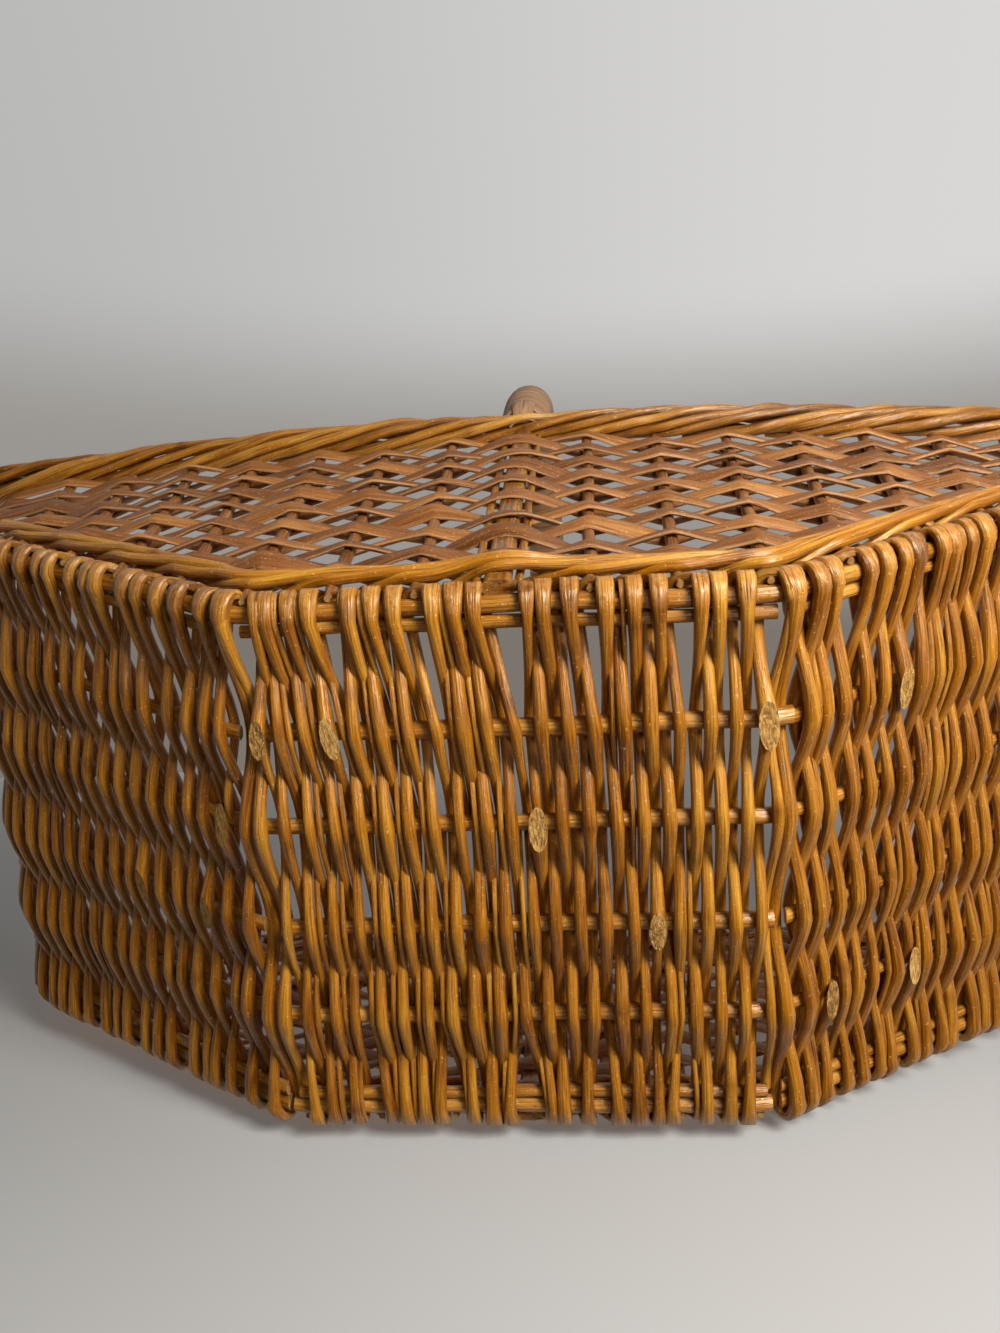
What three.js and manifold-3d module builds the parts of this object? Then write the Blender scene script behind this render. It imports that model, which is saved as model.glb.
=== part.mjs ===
// A willow garden basket: a strip woven on sticks makes the flat bottom and both sloping ends, two long walls
// woven on stakes rise from the strip's edges to a thick rim, and a wrapped bow handle stands over the middle.
// Millimetres. X runs along the basket, -Y is the front, +Z is up, and z = 0 is the surface that it stands on.
import * as THREE from "three";
import { mergeVertices } from "three/addons/utils/BufferGeometryUtils.js";
import Module from "manifold-3d";

// Driving dimensions of the body
const BASE_LENGTH = 190; // flat bottom, from bend to bend
const BASE_WIDTH = 210; // between the outer edge rods, on the bottom
const END_RUN = 188; // sloping length of each end, from the bend to its knuckle
const END_SLOPE = THREE.MathUtils.degToRad(33);
const END_WIDTH = 237; // between the edge rods at the knuckle
const END_RISE = THREE.MathUtils.degToRad(62); // how steeply an end goes on above its knuckle
const KNUCKLE_RADIUS = 40;
const END_TOP_WIDTH = 224; // between the edge rods under the rim
const RIM_HEIGHT = 195; // middle of the rim above the ground
const RIM_WIDTH = 300; // across the mouth, between the middles of the rim
const RIM_BOW = 13; // how far the long sides of the rim swell out
const RIM_CORNER = 30;
const RIM_DIAMETER = 16;

// Rods and splits
const STICK_DIAMETER = 7;
const EDGE_PARTNER_DIAMETER = 5.5; // the thin rod beside each outer edge rod
const EDGE_BITE = 0.4; // how far the two rods of an edge pair are pressed together
const STAKE_DIAMETER = 5;
const STAKES_PER_HALF = 7; // on each side of the handle, in each wall
const LAST_STAKE_INSET = 41.5; // from the knuckle back to the last stake's foot
const STAKE_FAN = 1.12; // how many times further apart the stakes stand at the rim than at their feet
const WEAVER_WIDTH = 5;
const WEAVER_THICKNESS = 4;
const WEAVER_PITCH = 12;
const SPLIT_WIDTH = 7.5; // flat split willow of the walls
const SPLIT_THICKNESS = 1.6;
const ROW_PITCH = 16;
const WALE_DIAMETER = 8;
const CROSSING_FLAT = 2.5; // half the length of a weaver that lies flat on what it crosses
const STICK_END_GAP = 4; // from a bend to the sticks' cut ends
const INNER_STICK_PLACES = [-0.55, -0.2, 0.2, 0.57]; // shares of the half width
const CLEARANCE = 0.4;

// Handle
const HANDLE_HEIGHT = 390; // top of the bow's middle line
const BOW_DIAMETER = 10;
const WRAP_DIAMETER = 25;
const LEG_ABOVE_RIM = 30; // straight part of each leg above the rim's middle
const ARCH_STEPS = 20;
const ARCH_EASE = 0.6; // how far the arch keeps the legs' and the crown's directions

const ROD_SIDES = 8;
const RIM_SIDES = 10;

// Sizes that follow
const baseHalf = BASE_LENGTH / 2;
const stickRadius = STICK_DIAMETER / 2;
const partnerOffset = (STICK_DIAMETER + EDGE_PARTNER_DIAMETER) / 2 - EDGE_BITE;
const rimRadius = RIM_DIAMETER / 2;
const waleRadius = WALE_DIAMETER / 2;
const stakeRadius = STAKE_DIAMETER / 2;
const bowRadius = BOW_DIAMETER / 2;
const weaverOffset = stickRadius + WEAVER_THICKNESS / 2 + CLEARANCE;
const weaveHalfThickness = weaverOffset + WEAVER_THICKNESS / 2;

const wasm = await Module();
wasm.setup();

const willow = new THREE.MeshStandardMaterial({ color: 0xa9641c, roughness: 0.4 });
const stickWillow = new THREE.MeshStandardMaterial({ color: 0xb5752a, roughness: 0.42 });
const splitWillow = new THREE.MeshStandardMaterial({ color: 0xa5663c, roughness: 0.6 });
const cane = new THREE.MeshStandardMaterial({ color: 0xb8967a, roughness: 0.65 });

const basket = new THREE.Group();

function addPiece(name, geometry, material) {
  const mesh = new THREE.Mesh(geometry, material);
  mesh.name = name;
  basket.add(mesh);
}

// Closed skins and booleans

function signedVolume(vertices, triangles) {
  const [a, b, c] = [new THREE.Vector3(), new THREE.Vector3(), new THREE.Vector3()];
  let volume = 0;
  for (let i = 0; i < triangles.length; i += 3) {
    a.fromArray(vertices, 3 * triangles[i]);
    b.fromArray(vertices, 3 * triangles[i + 1]);
    c.fromArray(vertices, 3 * triangles[i + 2]);
    volume += a.dot(b.cross(c)) / 6;
  }
  return volume;
}

// A closed skin through rings of equally many points, capped at both ends unless it closes on itself.
function skin(rings, closed = false) {
  const count = rings[0].length;
  const vertices = rings.flat().flatMap((point) => point.toArray());
  const triangles = [];
  const links = closed ? rings.length : rings.length - 1;
  for (let i = 0; i < links; i++) {
    const next = (i + 1) % rings.length;
    for (let k = 0; k < count; k++) {
      const turn = (k + 1) % count;
      triangles.push(i * count + k, next * count + k, i * count + turn);
      triangles.push(i * count + turn, next * count + k, next * count + turn);
    }
  }
  if (!closed) {
    const lastStart = (rings.length - 1) * count;
    for (const [start, flip] of [[0, false], [lastStart, true]]) {
      for (let k = 1; k < count - 1; k++) {
        const pair = flip ? [start + k + 1, start + k] : [start + k, start + k + 1];
        triangles.push(start, ...pair);
      }
    }
  }
  if (signedVolume(vertices, triangles) < 0) triangles.reverse();
  return new THREE.BufferGeometry()
    .setAttribute("position", new THREE.Float32BufferAttribute(vertices, 3))
    .setIndex(triangles);
}

function solidOf(geometry) {
  const MERGE_DISTANCE = 1e-4;
  const merged = mergeVertices(geometry, MERGE_DISTANCE);
  return new wasm.Manifold(
    new wasm.Mesh({
      numProp: 3,
      vertProperties: merged.attributes.position.array,
      triVerts: new Uint32Array(merged.index.array),
    }),
  );
}

function cut(geometry, ...cutters) {
  const solid = cutters.reduce((rest, cutter) => rest.subtract(solidOf(cutter)), solidOf(geometry));
  const mesh = solid.getMesh();
  return new THREE.BufferGeometry()
    .setAttribute("position", new THREE.BufferAttribute(mesh.vertProperties, 3))
    .setIndex(new THREE.BufferAttribute(mesh.triVerts, 1));
}

// Rings of points for the skins

function roundSection(radius, sides) {
  return Array.from({ length: sides }, (_, k) => {
    const angle = (2 * Math.PI * k) / sides;
    return [radius * Math.cos(angle), radius * Math.sin(angle)];
  });
}

// Two round rods pressed together, the thick one on the middle point and the thin one towards -first axis.
function edgePairSection() {
  const thin = EDGE_PARTNER_DIAMETER / 2;
  const waist = (partnerOffset ** 2 + stickRadius ** 2 - thin ** 2) / (2 * partnerOffset);
  const waistHalf = Math.sqrt(stickRadius ** 2 - waist ** 2);
  const thickFrom = Math.atan2(waistHalf, -waist);
  const thinFrom = Math.atan2(-waistHalf, partnerOffset - waist);
  const arc = (centre, radius, from, sweep, steps) =>
    Array.from({ length: steps }, (_, k) => {
      const angle = from + (sweep * k) / steps;
      return [centre + radius * Math.cos(angle), radius * Math.sin(angle)];
    });
  return [
    ...arc(0, stickRadius, thickFrom, -2 * thickFrom, ROD_SIDES),
    ...arc(-partnerOffset, thin, thinFrom, -2 * (Math.PI + thinFrom), ROD_SIDES),
  ];
}

function ringAt(centre, first, second, section) {
  return section.map(([a, b]) => centre.clone().addScaledVector(first, a).addScaledVector(second, b));
}

function flatSection(width, thickness) {
  const [w, t] = [width / 2, thickness / 2];
  return [[w, t], [-w, t], [-w, -t], [w, -t]];
}

// The strip: bottom and ends as one bent band, followed by its length u from the middle of the bottom

const kneeTangent = KNUCKLE_RADIUS * Math.tan((END_RISE - END_SLOPE) / 2);
const slopeLength = END_RUN - kneeTangent;
const kneeLength = KNUCKLE_RADIUS * (END_RISE - END_SLOPE);
const knuckleX = baseHalf + END_RUN * Math.cos(END_SLOPE);
const riseStartZ =
  weaveHalfThickness + END_RUN * Math.sin(END_SLOPE) + kneeTangent * Math.sin(END_RISE);
const riseLength = (RIM_HEIGHT - riseStartZ) / Math.sin(END_RISE);
const stripHalf = baseHalf + slopeLength + kneeLength + riseLength;

// Where the strip's middle layer is at length u: x, z, its tilt, and half the width between the edge rods.
function stripAt(u) {
  const way = u < 0 ? -1 : 1;
  const run = Math.abs(u) - baseHalf;
  const frame = { way, x: u, z: weaveHalfThickness, tilt: 0, halfWidth: BASE_WIDTH / 2 };
  if (run <= 0) return frame;
  const onSlope = Math.min(run, slopeLength);
  const onKnee = THREE.MathUtils.clamp(run - slopeLength, 0, kneeLength);
  const onRise = Math.max(run - slopeLength - kneeLength, 0);
  frame.tilt = END_SLOPE + onKnee / KNUCKLE_RADIUS;
  const out =
    onSlope * Math.cos(END_SLOPE) +
    KNUCKLE_RADIUS * (Math.sin(frame.tilt) - Math.sin(END_SLOPE)) +
    onRise * Math.cos(END_RISE);
  const up =
    onSlope * Math.sin(END_SLOPE) +
    KNUCKLE_RADIUS * (Math.cos(END_SLOPE) - Math.cos(frame.tilt)) +
    onRise * Math.sin(END_RISE);
  frame.x = way * (baseHalf + out);
  frame.z += up;
  const aboveKnuckle = (run - END_RUN) / (stripHalf - baseHalf - END_RUN);
  frame.halfWidth =
    run < END_RUN
      ? THREE.MathUtils.lerp(BASE_WIDTH, END_WIDTH, run / END_RUN) / 2
      : THREE.MathUtils.lerp(END_WIDTH, END_TOP_WIDTH, aboveKnuckle) / 2;
  return frame;
}

const stripOut = ({ way, tilt }) => new THREE.Vector3(way * Math.sin(tilt), 0, -Math.cos(tilt));
const stripAlong = ({ way, tilt }) => new THREE.Vector3(Math.cos(tilt), 0, way * Math.sin(tilt));
const stripPoint = (frame, y, out) =>
  new THREE.Vector3(frame.x, y, frame.z).addScaledVector(stripOut(frame), out);

// The length u at which a rising quantity of the strip's right half reaches a value.
function stripWhere(quantity, value) {
  const HALVINGS = 50;
  let [low, high] = [0, stripHalf];
  for (let step = 0; step < HALVINGS; step++) {
    const middle = (low + high) / 2;
    if (quantity(stripAt(middle)) < value) low = middle;
    else high = middle;
  }
  return low;
}

// The rim: a rounded oblong at one level, whose long sides swell a little

const rimHalfLength = Math.abs(stripAt(stripHalf).x);
const cornerX = rimHalfLength - RIM_CORNER;
const cornerY = RIM_WIDTH / 2 - RIM_BOW - RIM_CORNER;

function rimHalfWidthAt(x) {
  const distance = Math.abs(x);
  if (distance <= cornerX) return RIM_WIDTH / 2 - RIM_BOW * (distance / cornerX) ** 2;
  return cornerY + Math.sqrt(Math.max(RIM_CORNER ** 2 - (distance - cornerX) ** 2, 0));
}

function rimXAt(y) {
  const past = Math.max(Math.abs(y) - cornerY, 0);
  return cornerX + Math.sqrt(RIM_CORNER ** 2 - past ** 2);
}

function rimPath() {
  const SIDE_STEPS = 10;
  const CORNER_STEPS = 6;
  const quarter = [];
  for (let k = 0; k < SIDE_STEPS / 2; k++) {
    const x = (cornerX * 2 * k) / SIDE_STEPS;
    quarter.push([x, rimHalfWidthAt(x)]);
  }
  for (let k = 0; k <= CORNER_STEPS; k++) {
    const angle = (Math.PI / 2) * (1 - k / CORNER_STEPS);
    quarter.push([cornerX + RIM_CORNER * Math.cos(angle), cornerY + RIM_CORNER * Math.sin(angle)]);
  }
  const right = [...quarter, ...quarter.slice(1).reverse().map(([x, y]) => [x, -y])];
  const left = right.map(([x, y]) => [-x, -y]);
  return [...right, [0, -rimHalfWidthAt(0)], ...left.slice(1)];
}

function rimGeometry(holes) {
  const path = rimPath().map(([x, y]) => new THREE.Vector3(x, y, RIM_HEIGHT));
  const up = new THREE.Vector3(0, 0, 1);
  const section = roundSection(rimRadius, RIM_SIDES);
  const rings = path.map((point, i) => {
    const before = path[(i + path.length - 1) % path.length];
    const after = path[(i + 1) % path.length];
    const outward = after.clone().sub(before).normalize().cross(up);
    return ringAt(point, outward, up, section);
  });
  return cut(skin(rings, true), ...holes);
}

// Sticks and edge pairs

// A rod along the strip: it keeps its place across the width while the strip bends and widens.
function stripRod(stations, placeAt, section) {
  const rings = stations.map((u) => {
    const frame = stripAt(u);
    const across = new THREE.Vector3(0, Math.sign(placeAt(frame)), 0);
    return ringAt(stripPoint(frame, placeAt(frame), 0), across, stripOut(frame), section);
  });
  return skin(rings);
}

function endStations(place) {
  const KNEE_STEPS = 5;
  const knee = Array.from(
    { length: KNEE_STEPS + 1 },
    (_, k) => baseHalf + slopeLength + (kneeLength * k) / KNEE_STEPS,
  );
  const outerSide = (Math.abs(place) * END_TOP_WIDTH) / 2 + stickRadius;
  const cornerGap = rimHalfLength - rimXAt(outerSide);
  const underRim = rimRadius + CLEARANCE + cornerGap * Math.cos(END_RISE);
  return [baseHalf + STICK_END_GAP, ...knee, stripHalf - underRim];
}

function addSticks(panel, stationsFor) {
  const round = roundSection(stickRadius, ROD_SIDES);
  INNER_STICK_PLACES.forEach((place, k) => {
    const stick = stripRod(stationsFor(place), ({ halfWidth }) => place * halfWidth, round);
    addPiece(`${panel}_stick_${k + 1}`, stick, stickWillow);
  });
  for (const [side, sign] of [["front", -1], ["back", 1]]) {
    const pair = stripRod(stationsFor(sign), ({ halfWidth }) => sign * halfWidth, edgePairSection());
    addPiece(`${panel}_edge_${side}`, pair, stickWillow);
  }
}

// The strip's weavers: one rod that goes to and fro across the sticks, over one and under the next

function stripWeave(from, to) {
  const WRAP_TURNS = [1, 0, -1];
  const WRAP_STEP = Math.PI / 4;
  const passes = Math.max(2, Math.round(Math.abs(to - from) / WEAVER_PITCH));
  const pitch = (to - from) / passes;
  const section = flatSection(WEAVER_WIDTH, WEAVER_THICKNESS);
  const wrapRadius = weaverOffset / Math.cos(WRAP_STEP / 2);
  const rings = [];
  for (let pass = 0; pass < passes; pass++) {
    const u = from + (pass + 0.5) * pitch;
    const frame = stripAt(u);
    const heading = pass % 2 ? -1 : 1;
    const up = stripOut(frame).multiplyScalar(heading);
    const along = stripAlong(frame);
    const edge = frame.halfWidth;
    const innerEdge = edge - partnerOffset - CROSSING_FLAT;
    const crossings = [
      [-edge, -innerEdge],
      ...INNER_STICK_PLACES.map((place) => [place * edge - CROSSING_FLAT, place * edge + CROSSING_FLAT]),
      [innerEdge, edge],
    ];
    const order = crossings.map((span, k) => ({ span, side: (pass + k) % 2 ? -1 : 1 }));
    if (heading < 0) order.reverse();
    for (const { span, side } of order) {
      const ends = heading > 0 ? span : [span[1], span[0]];
      for (const y of ends) rings.push(ringAt(stripPoint(frame, y, side * weaverOffset), along, up, section));
    }
    if (pass === passes - 1) break;
    const lastSide = order[order.length - 1].side;
    WRAP_TURNS.forEach((turn, k) => {
      const onWay = stripAt(u + (pitch * (k + 1)) / (WRAP_TURNS.length + 1));
      const angle = turn * WRAP_STEP;
      const y = heading * (onWay.halfWidth + wrapRadius * Math.cos(angle));
      const out = lastSide * wrapRadius * Math.sin(angle);
      const radial = stripOut(onWay)
        .multiplyScalar(lastSide * Math.sin(angle))
        .add(new THREE.Vector3(0, heading * Math.cos(angle), 0))
        .multiplyScalar(heading * lastSide);
      rings.push(ringAt(stripPoint(onWay, y, out), stripAlong(onWay), radial, section));
    });
  }
  return skin(rings);
}

// The walls: straight lines that fan out from the strip's edge up to the rim, one for each x of a foot

function wallAt(x, side) {
  const edge = stripAt(stripWhere((frame) => frame.x, Math.abs(x)));
  const foot = new THREE.Vector3(x, side * edge.halfWidth, edge.z);
  const headX = x * STAKE_FAN;
  const head = new THREE.Vector3(headX, side * rimHalfWidthAt(headX), RIM_HEIGHT);
  const up = head.clone().sub(foot).normalize();
  const out = new THREE.Vector3(0, side * up.z, -side * up.y);
  const inward = stripOut({ way: Math.sign(x), tilt: edge.tilt }).negate();
  const leanOnStrip = edge.tilt + Math.atan2(Math.abs(up.x), up.z);
  return { foot, head, up, out, facing: up.dot(inward), leanOnStrip };
}

// How far up a wall's line a height above the strip's middle layer is reached.
const liftOn = (wall, height) => height / wall.facing;

// A point of the wall at a level, set off outwards.
function wallPoint(wall, z, out) {
  const climb = (z - wall.foot.z) / wall.up.z;
  return wall.foot.clone().addScaledVector(wall.up, climb).addScaledVector(wall.out, out);
}

const lastStakeX = knuckleX - LAST_STAKE_INSET;
const stakeSpacing = lastStakeX / STAKES_PER_HALF;
const stakeNumbers = Array.from({ length: 2 * STAKES_PER_HALF + 1 }, (_, k) => k - STAKES_PER_HALF);

// How far up a wall's line a rod's square end stands clear of the strip's weavers, which turn down outside it.
const standClear = (wall, radius) =>
  liftOn(wall, weaveHalfThickness + CLEARANCE - stakeRadius * Math.abs(wall.out.z)) +
  radius * Math.tan(wall.leanOnStrip);

function addStakes(wallName, side) {
  const section = roundSection(stakeRadius, ROD_SIDES);
  for (const number of stakeNumbers.filter((n) => n !== 0)) {
    const wall = wallAt(number * stakeSpacing, side);
    const across = new THREE.Vector3(1, 0, 0);
    const low = wall.foot.clone().addScaledVector(wall.up, standClear(wall, stakeRadius));
    const high = wall.head.clone().addScaledVector(wall.up, -rimRadius - CLEARANCE);
    const rings = [low, high].map((point) => ringAt(point, across, wall.out, section));
    const half = number < 0 ? "left" : "right";
    addPiece(`${wallName}_stake_${half}_${Math.abs(number)}`, skin(rings), stickWillow);
  }
}

// The wale: a rope of rods along the wall's foot, outside the stakes, which bulges out round the handle's leg.
const waleLift = weaveHalfThickness + CLEARANCE + waleRadius;

function waleGeometry(side) {
  const BEND_STEP = 8;
  const endX = lastStakeX + stakeSpacing / 2;
  const pastLeg = bowRadius + CLEARANCE;
  const atStake = stakeSpacing - stakeRadius;
  const onSlope = stakeNumbers.map((n) => n * stakeSpacing).filter((x) => x > baseHalf + 2 * BEND_STEP);
  const right = [pastLeg, atStake, baseHalf - BEND_STEP, baseHalf + BEND_STEP, ...onSlope, endX];
  const places = [...right.toReversed().map((x) => -x), ...right];
  const walls = places.map((x) => wallAt(x, side));
  const points = walls.map((wall) => {
    const inside = Math.abs(wall.foot.x) < atStake ? bowRadius : stakeRadius;
    return wall.foot
      .clone()
      .addScaledVector(wall.up, liftOn(wall, waleLift))
      .addScaledVector(wall.out, inside + waleRadius + CLEARANCE);
  });
  const section = roundSection(waleRadius, ROD_SIDES);
  const rings = points.map((point, i) => {
    const before = points[Math.max(i - 1, 0)];
    const after = points[Math.min(i + 1, points.length - 1)];
    const across = after.clone().sub(before).normalize().cross(walls[i].out).normalize();
    return ringAt(point, walls[i].out, across, section);
  });
  return skin(rings);
}

// The wall's rows: one flat split that goes to and fro round the stakes and turns back at the strip's rising edge.
function wallWeave(side) {
  const turnRadius = ROW_PITCH / 2;
  const rowHalf = SPLIT_WIDTH / 2;
  const aboveWale = waleLift + waleRadius + CLEARANCE + rowHalf;
  const rowFloor = (wall) => wall.foot.z + liftOn(wall, aboveWale) * wall.up.z;
  const firstZ = rowFloor(wallAt(0, side));
  const lastZ = RIM_HEIGHT - rimRadius - rowHalf - 2 * CLEARANCE;
  const rows = Math.floor((lastZ - firstZ) / ROW_PITCH) + 1;
  const section = flatSection(SPLIT_WIDTH, SPLIT_THICKNESS);
  const widestX = lastStakeX + stakeSpacing;
  const pastStake = 2 * CROSSING_FLAT + stakeRadius;
  const turnReach = turnRadius + rowHalf;
  const rowEnd = (z) => {
    let end = baseHalf;
    while (end < widestX && rowFloor(wallAt(end, side)) < z) end += CLEARANCE;
    end -= turnReach;
    const nextStake = (Math.floor((end - pastStake) / stakeSpacing) + 1) * stakeSpacing;
    if (nextStake > lastStakeX + stakeRadius) return end;
    return Math.min(end, nextStake - stakeRadius - turnReach - CLEARANCE);
  };
  const splitOffset = (number) =>
    (number === 0 ? bowRadius : stakeRadius) + SPLIT_THICKNESS / 2 + CLEARANCE;
  const rings = [];
  for (let row = 0; row < rows; row++) {
    const z = firstZ + row * ROW_PITCH;
    const heading = row % 2 ? -1 : 1;
    const startX = rowEnd(row === 0 ? z : z - ROW_PITCH);
    const endX = rowEnd(z);
    const place = (x, out) => {
      const wall = wallAt(x, side);
      const across = wall.up.clone().multiplyScalar(heading);
      rings.push(ringAt(wallPoint(wall, z, out), across, wall.out, section));
    };
    place(-heading * startX, 0);
    for (const step of stakeNumbers) {
      const number = heading * step;
      const x = number * stakeSpacing;
      const reach = heading * x < 0 ? startX : endX;
      if (Math.abs(x) + pastStake > reach) continue;
      const out = (row + number) % 2 ? -splitOffset(number) : splitOffset(number);
      place(x - heading * CROSSING_FLAT, out);
      place(x + heading * CROSSING_FLAT, out);
    }
    place(heading * endX, 0);
    if (row === rows - 1) break;
    const turn = wallAt(heading * (endX + turnRadius), side);
    const inward = new THREE.Vector3(-1, 0, 0);
    rings.push(ringAt(wallPoint(turn, z + turnRadius, 0), inward, turn.out, section));
  }
  return skin(rings);
}

// The handle: a bow whose legs run down the middle of both walls, and the wrap round its arch

const across = new THREE.Vector3(1, 0, 0);
const backLeg = wallAt(0, 1);

function bowPath() {
  const footPoint = backLeg.foot.clone().addScaledVector(backLeg.up, standClear(backLeg, bowRadius));
  const archStart = backLeg.head.clone().addScaledVector(backLeg.up, LEG_ABOVE_RIM);
  const rise = HANDLE_HEIGHT - archStart.z;
  const arch = new THREE.CubicBezierCurve3(
    archStart,
    archStart.clone().addScaledVector(backLeg.up, ARCH_EASE * rise),
    new THREE.Vector3(0, ARCH_EASE * archStart.y, HANDLE_HEIGHT),
    new THREE.Vector3(0, 0, HANDLE_HEIGHT),
  );
  const half = [footPoint, ...arch.getPoints(ARCH_STEPS / 2)];
  const mirrored = half.slice(0, -1).reverse().map((point) => new THREE.Vector3(0, -point.y, point.z));
  return [...half, ...mirrored];
}

function bowRings(path, radius, sides) {
  return path.map((point, i) => {
    const before = path[Math.max(i - 1, 0)];
    const after = path[Math.min(i + 1, path.length - 1)];
    const inPlane = after.clone().sub(before).normalize().cross(across);
    return ringAt(point, across, inPlane, roundSection(radius, sides));
  });
}

function addHandle() {
  const path = bowPath();
  const bore = skin(bowRings(path, bowRadius + CLEARANCE, RIM_SIDES));
  const wrapStart = backLeg.head.clone().addScaledVector(backLeg.up, rimRadius + CLEARANCE);
  const wrapEnd = new THREE.Vector3(0, -wrapStart.y, wrapStart.z);
  const sleeve = bowRings([wrapStart, ...path.slice(1, -1), wrapEnd], WRAP_DIAMETER / 2, RIM_SIDES);
  addPiece("handle_bow", skin(bowRings(path, bowRadius, RIM_SIDES)), stickWillow);
  addPiece("handle_wrap", cut(skin(sleeve), bore), cane);
  return bore;
}

// The assembly

addSticks("base", () => [-baseHalf + STICK_END_GAP, baseHalf - STICK_END_GAP]);
addPiece("base_weave", stripWeave(-baseHalf, baseHalf), willow);
const weaveTop = stripHalf - rimRadius - CLEARANCE;
for (const [end, way] of [["left_end", -1], ["right_end", 1]]) {
  addSticks(end, (place) => endStations(place).map((u) => way * u));
  addPiece(`${end}_weave`, stripWeave(way * baseHalf, way * weaveTop), willow);
}
const legBore = addHandle();
addPiece("rim_border", rimGeometry([legBore]), willow);
for (const [wallName, side] of [["front", -1], ["back", 1]]) {
  addStakes(wallName, side);
  addPiece(`${wallName}_wale`, waleGeometry(side), willow);
  addPiece(`${wallName}_wall_weave`, wallWeave(side), splitWillow);
}

export default basket;
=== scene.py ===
"""Looks of a willow garden basket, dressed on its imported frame.

Sizes are in millimetres until a mesh is made, which is in metres. X runs along the basket, -Y is the
front and +Z is up. Every rod, split and strip of cane is a strand: a line with a thickness, which one
Geometry Nodes tree sweeps into a closed tube.
"""

from __future__ import annotations

import logging
import math
import random
from bisect import bisect_right
from dataclasses import dataclass, field
from enum import Enum
from functools import cached_property, lru_cache
from typing import Any, ClassVar, Sequence

import bpy
from mathutils import Matrix, Vector

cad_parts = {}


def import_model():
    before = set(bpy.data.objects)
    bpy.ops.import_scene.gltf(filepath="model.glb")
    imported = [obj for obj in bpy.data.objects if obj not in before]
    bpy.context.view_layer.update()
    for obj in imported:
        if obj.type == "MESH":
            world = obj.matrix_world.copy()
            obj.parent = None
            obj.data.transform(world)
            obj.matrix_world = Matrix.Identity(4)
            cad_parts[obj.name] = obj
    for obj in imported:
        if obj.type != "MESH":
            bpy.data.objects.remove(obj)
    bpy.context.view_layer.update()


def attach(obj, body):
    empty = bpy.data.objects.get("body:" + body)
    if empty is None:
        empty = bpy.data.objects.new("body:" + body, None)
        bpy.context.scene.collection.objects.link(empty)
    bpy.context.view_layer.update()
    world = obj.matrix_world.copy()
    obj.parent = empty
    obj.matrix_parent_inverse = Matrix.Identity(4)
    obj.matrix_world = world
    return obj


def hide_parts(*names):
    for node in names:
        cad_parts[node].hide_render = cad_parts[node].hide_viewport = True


LOG = logging.getLogger("basket")
MM = 0.001
BODY = "root"
UP = Vector((0, 0, 1))
LENGTHWISE = Vector((1, 0, 0))
Inputs = dict[str | int, Any]


def add_node(tree: bpy.types.NodeTree, kind: str, settings: dict[str, Any] | None = None,
             inputs: Inputs | None = None) -> bpy.types.Node:
    """Adds a node with its settings and its inputs.

    Args:
        tree: The shader or geometry tree that gets the node.
        kind: The node's type name.
        settings: The node's own properties.
        inputs: Sockets by name or number, each with a socket to link or a plain value.

    Returns:
        The new node.
    """
    node = tree.nodes.new(kind)
    for name, value in (settings or {}).items():
        setattr(node, name, value)
    for key, value in (inputs or {}).items():
        if isinstance(value, bpy.types.NodeSocket):
            tree.links.new(value, node.inputs[key])
        else:
            node.inputs[key].default_value = value
    return node


def linear(hex_colour: str) -> tuple[float, float, float, float]:
    """Turns an sRGB hex colour into linear red, green, blue and a full alpha."""
    channels = [int(hex_colour[i:i + 2], 16) / 255 for i in (1, 3, 5)]
    red, green, blue = (c / 12.92 if c <= 0.04045 else ((c + 0.055) / 1.055) ** 2.4 for c in channels)
    return red, green, blue, 1.0


def lerp(start: float, end: float, share: float) -> float:
    """Goes from start to end in a straight line."""
    return start + (end - start) * share


def ease(share: float) -> float:
    """Goes from 0 to 1 with a soft start and end."""
    return 0.5 - 0.5 * math.cos(math.pi * min(max(share, 0.0), 1.0))


class Wander:
    """A smooth random wave, the same on every run: three sines of growing frequency."""

    def __init__(self, rng: random.Random, size: float, length: float) -> None:
        """Draws the waves.

        Args:
            rng: The seeded source of the draws.
            size: About how far the wave goes to each side.
            length: The length of the longest wave.
        """
        self.waves = [
            (size / (k + 1.5), math.tau * (k + 0.6 + 0.8 * rng.random()) / length, rng.uniform(0, math.tau))
            for k in range(3)
        ]

    def at(self, place: float) -> float:
        """Gives the wave's height at a place."""
        return sum(size * math.sin(rate * place + shift) for size, rate, shift in self.waves)


class Route:
    """A line through points, followed by its length."""

    def __init__(self, points: Sequence[Vector], closed: bool = False) -> None:
        """Measures the line.

        Args:
            points: The points, close enough together to show the line's bends.
            closed: Whether the line goes back to its first point.
        """
        self.points = [*points, points[0]] if closed else list(points)
        self.closed = closed
        self.marks = [0.0]
        for before, after in zip(self.points, self.points[1:]):
            self.marks.append(self.marks[-1] + (after - before).length)
        self.length = self.marks[-1]

    def point(self, reach: float) -> Vector:
        """Gives the point at a length from the start."""
        reach = reach % self.length if self.closed else min(max(reach, 0.0), self.length)
        k = min(max(bisect_right(self.marks, reach), 1), len(self.points) - 1)
        share = (reach - self.marks[k - 1]) / (self.marks[k] - self.marks[k - 1])
        return self.points[k - 1].lerp(self.points[k], share)

    def heading(self, reach: float) -> Vector:
        """Gives the direction at a length from the start, smoothed over a few millimetres."""
        spread = 3.0
        return (self.point(reach + spread) - self.point(reach - spread)).normalized()


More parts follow.
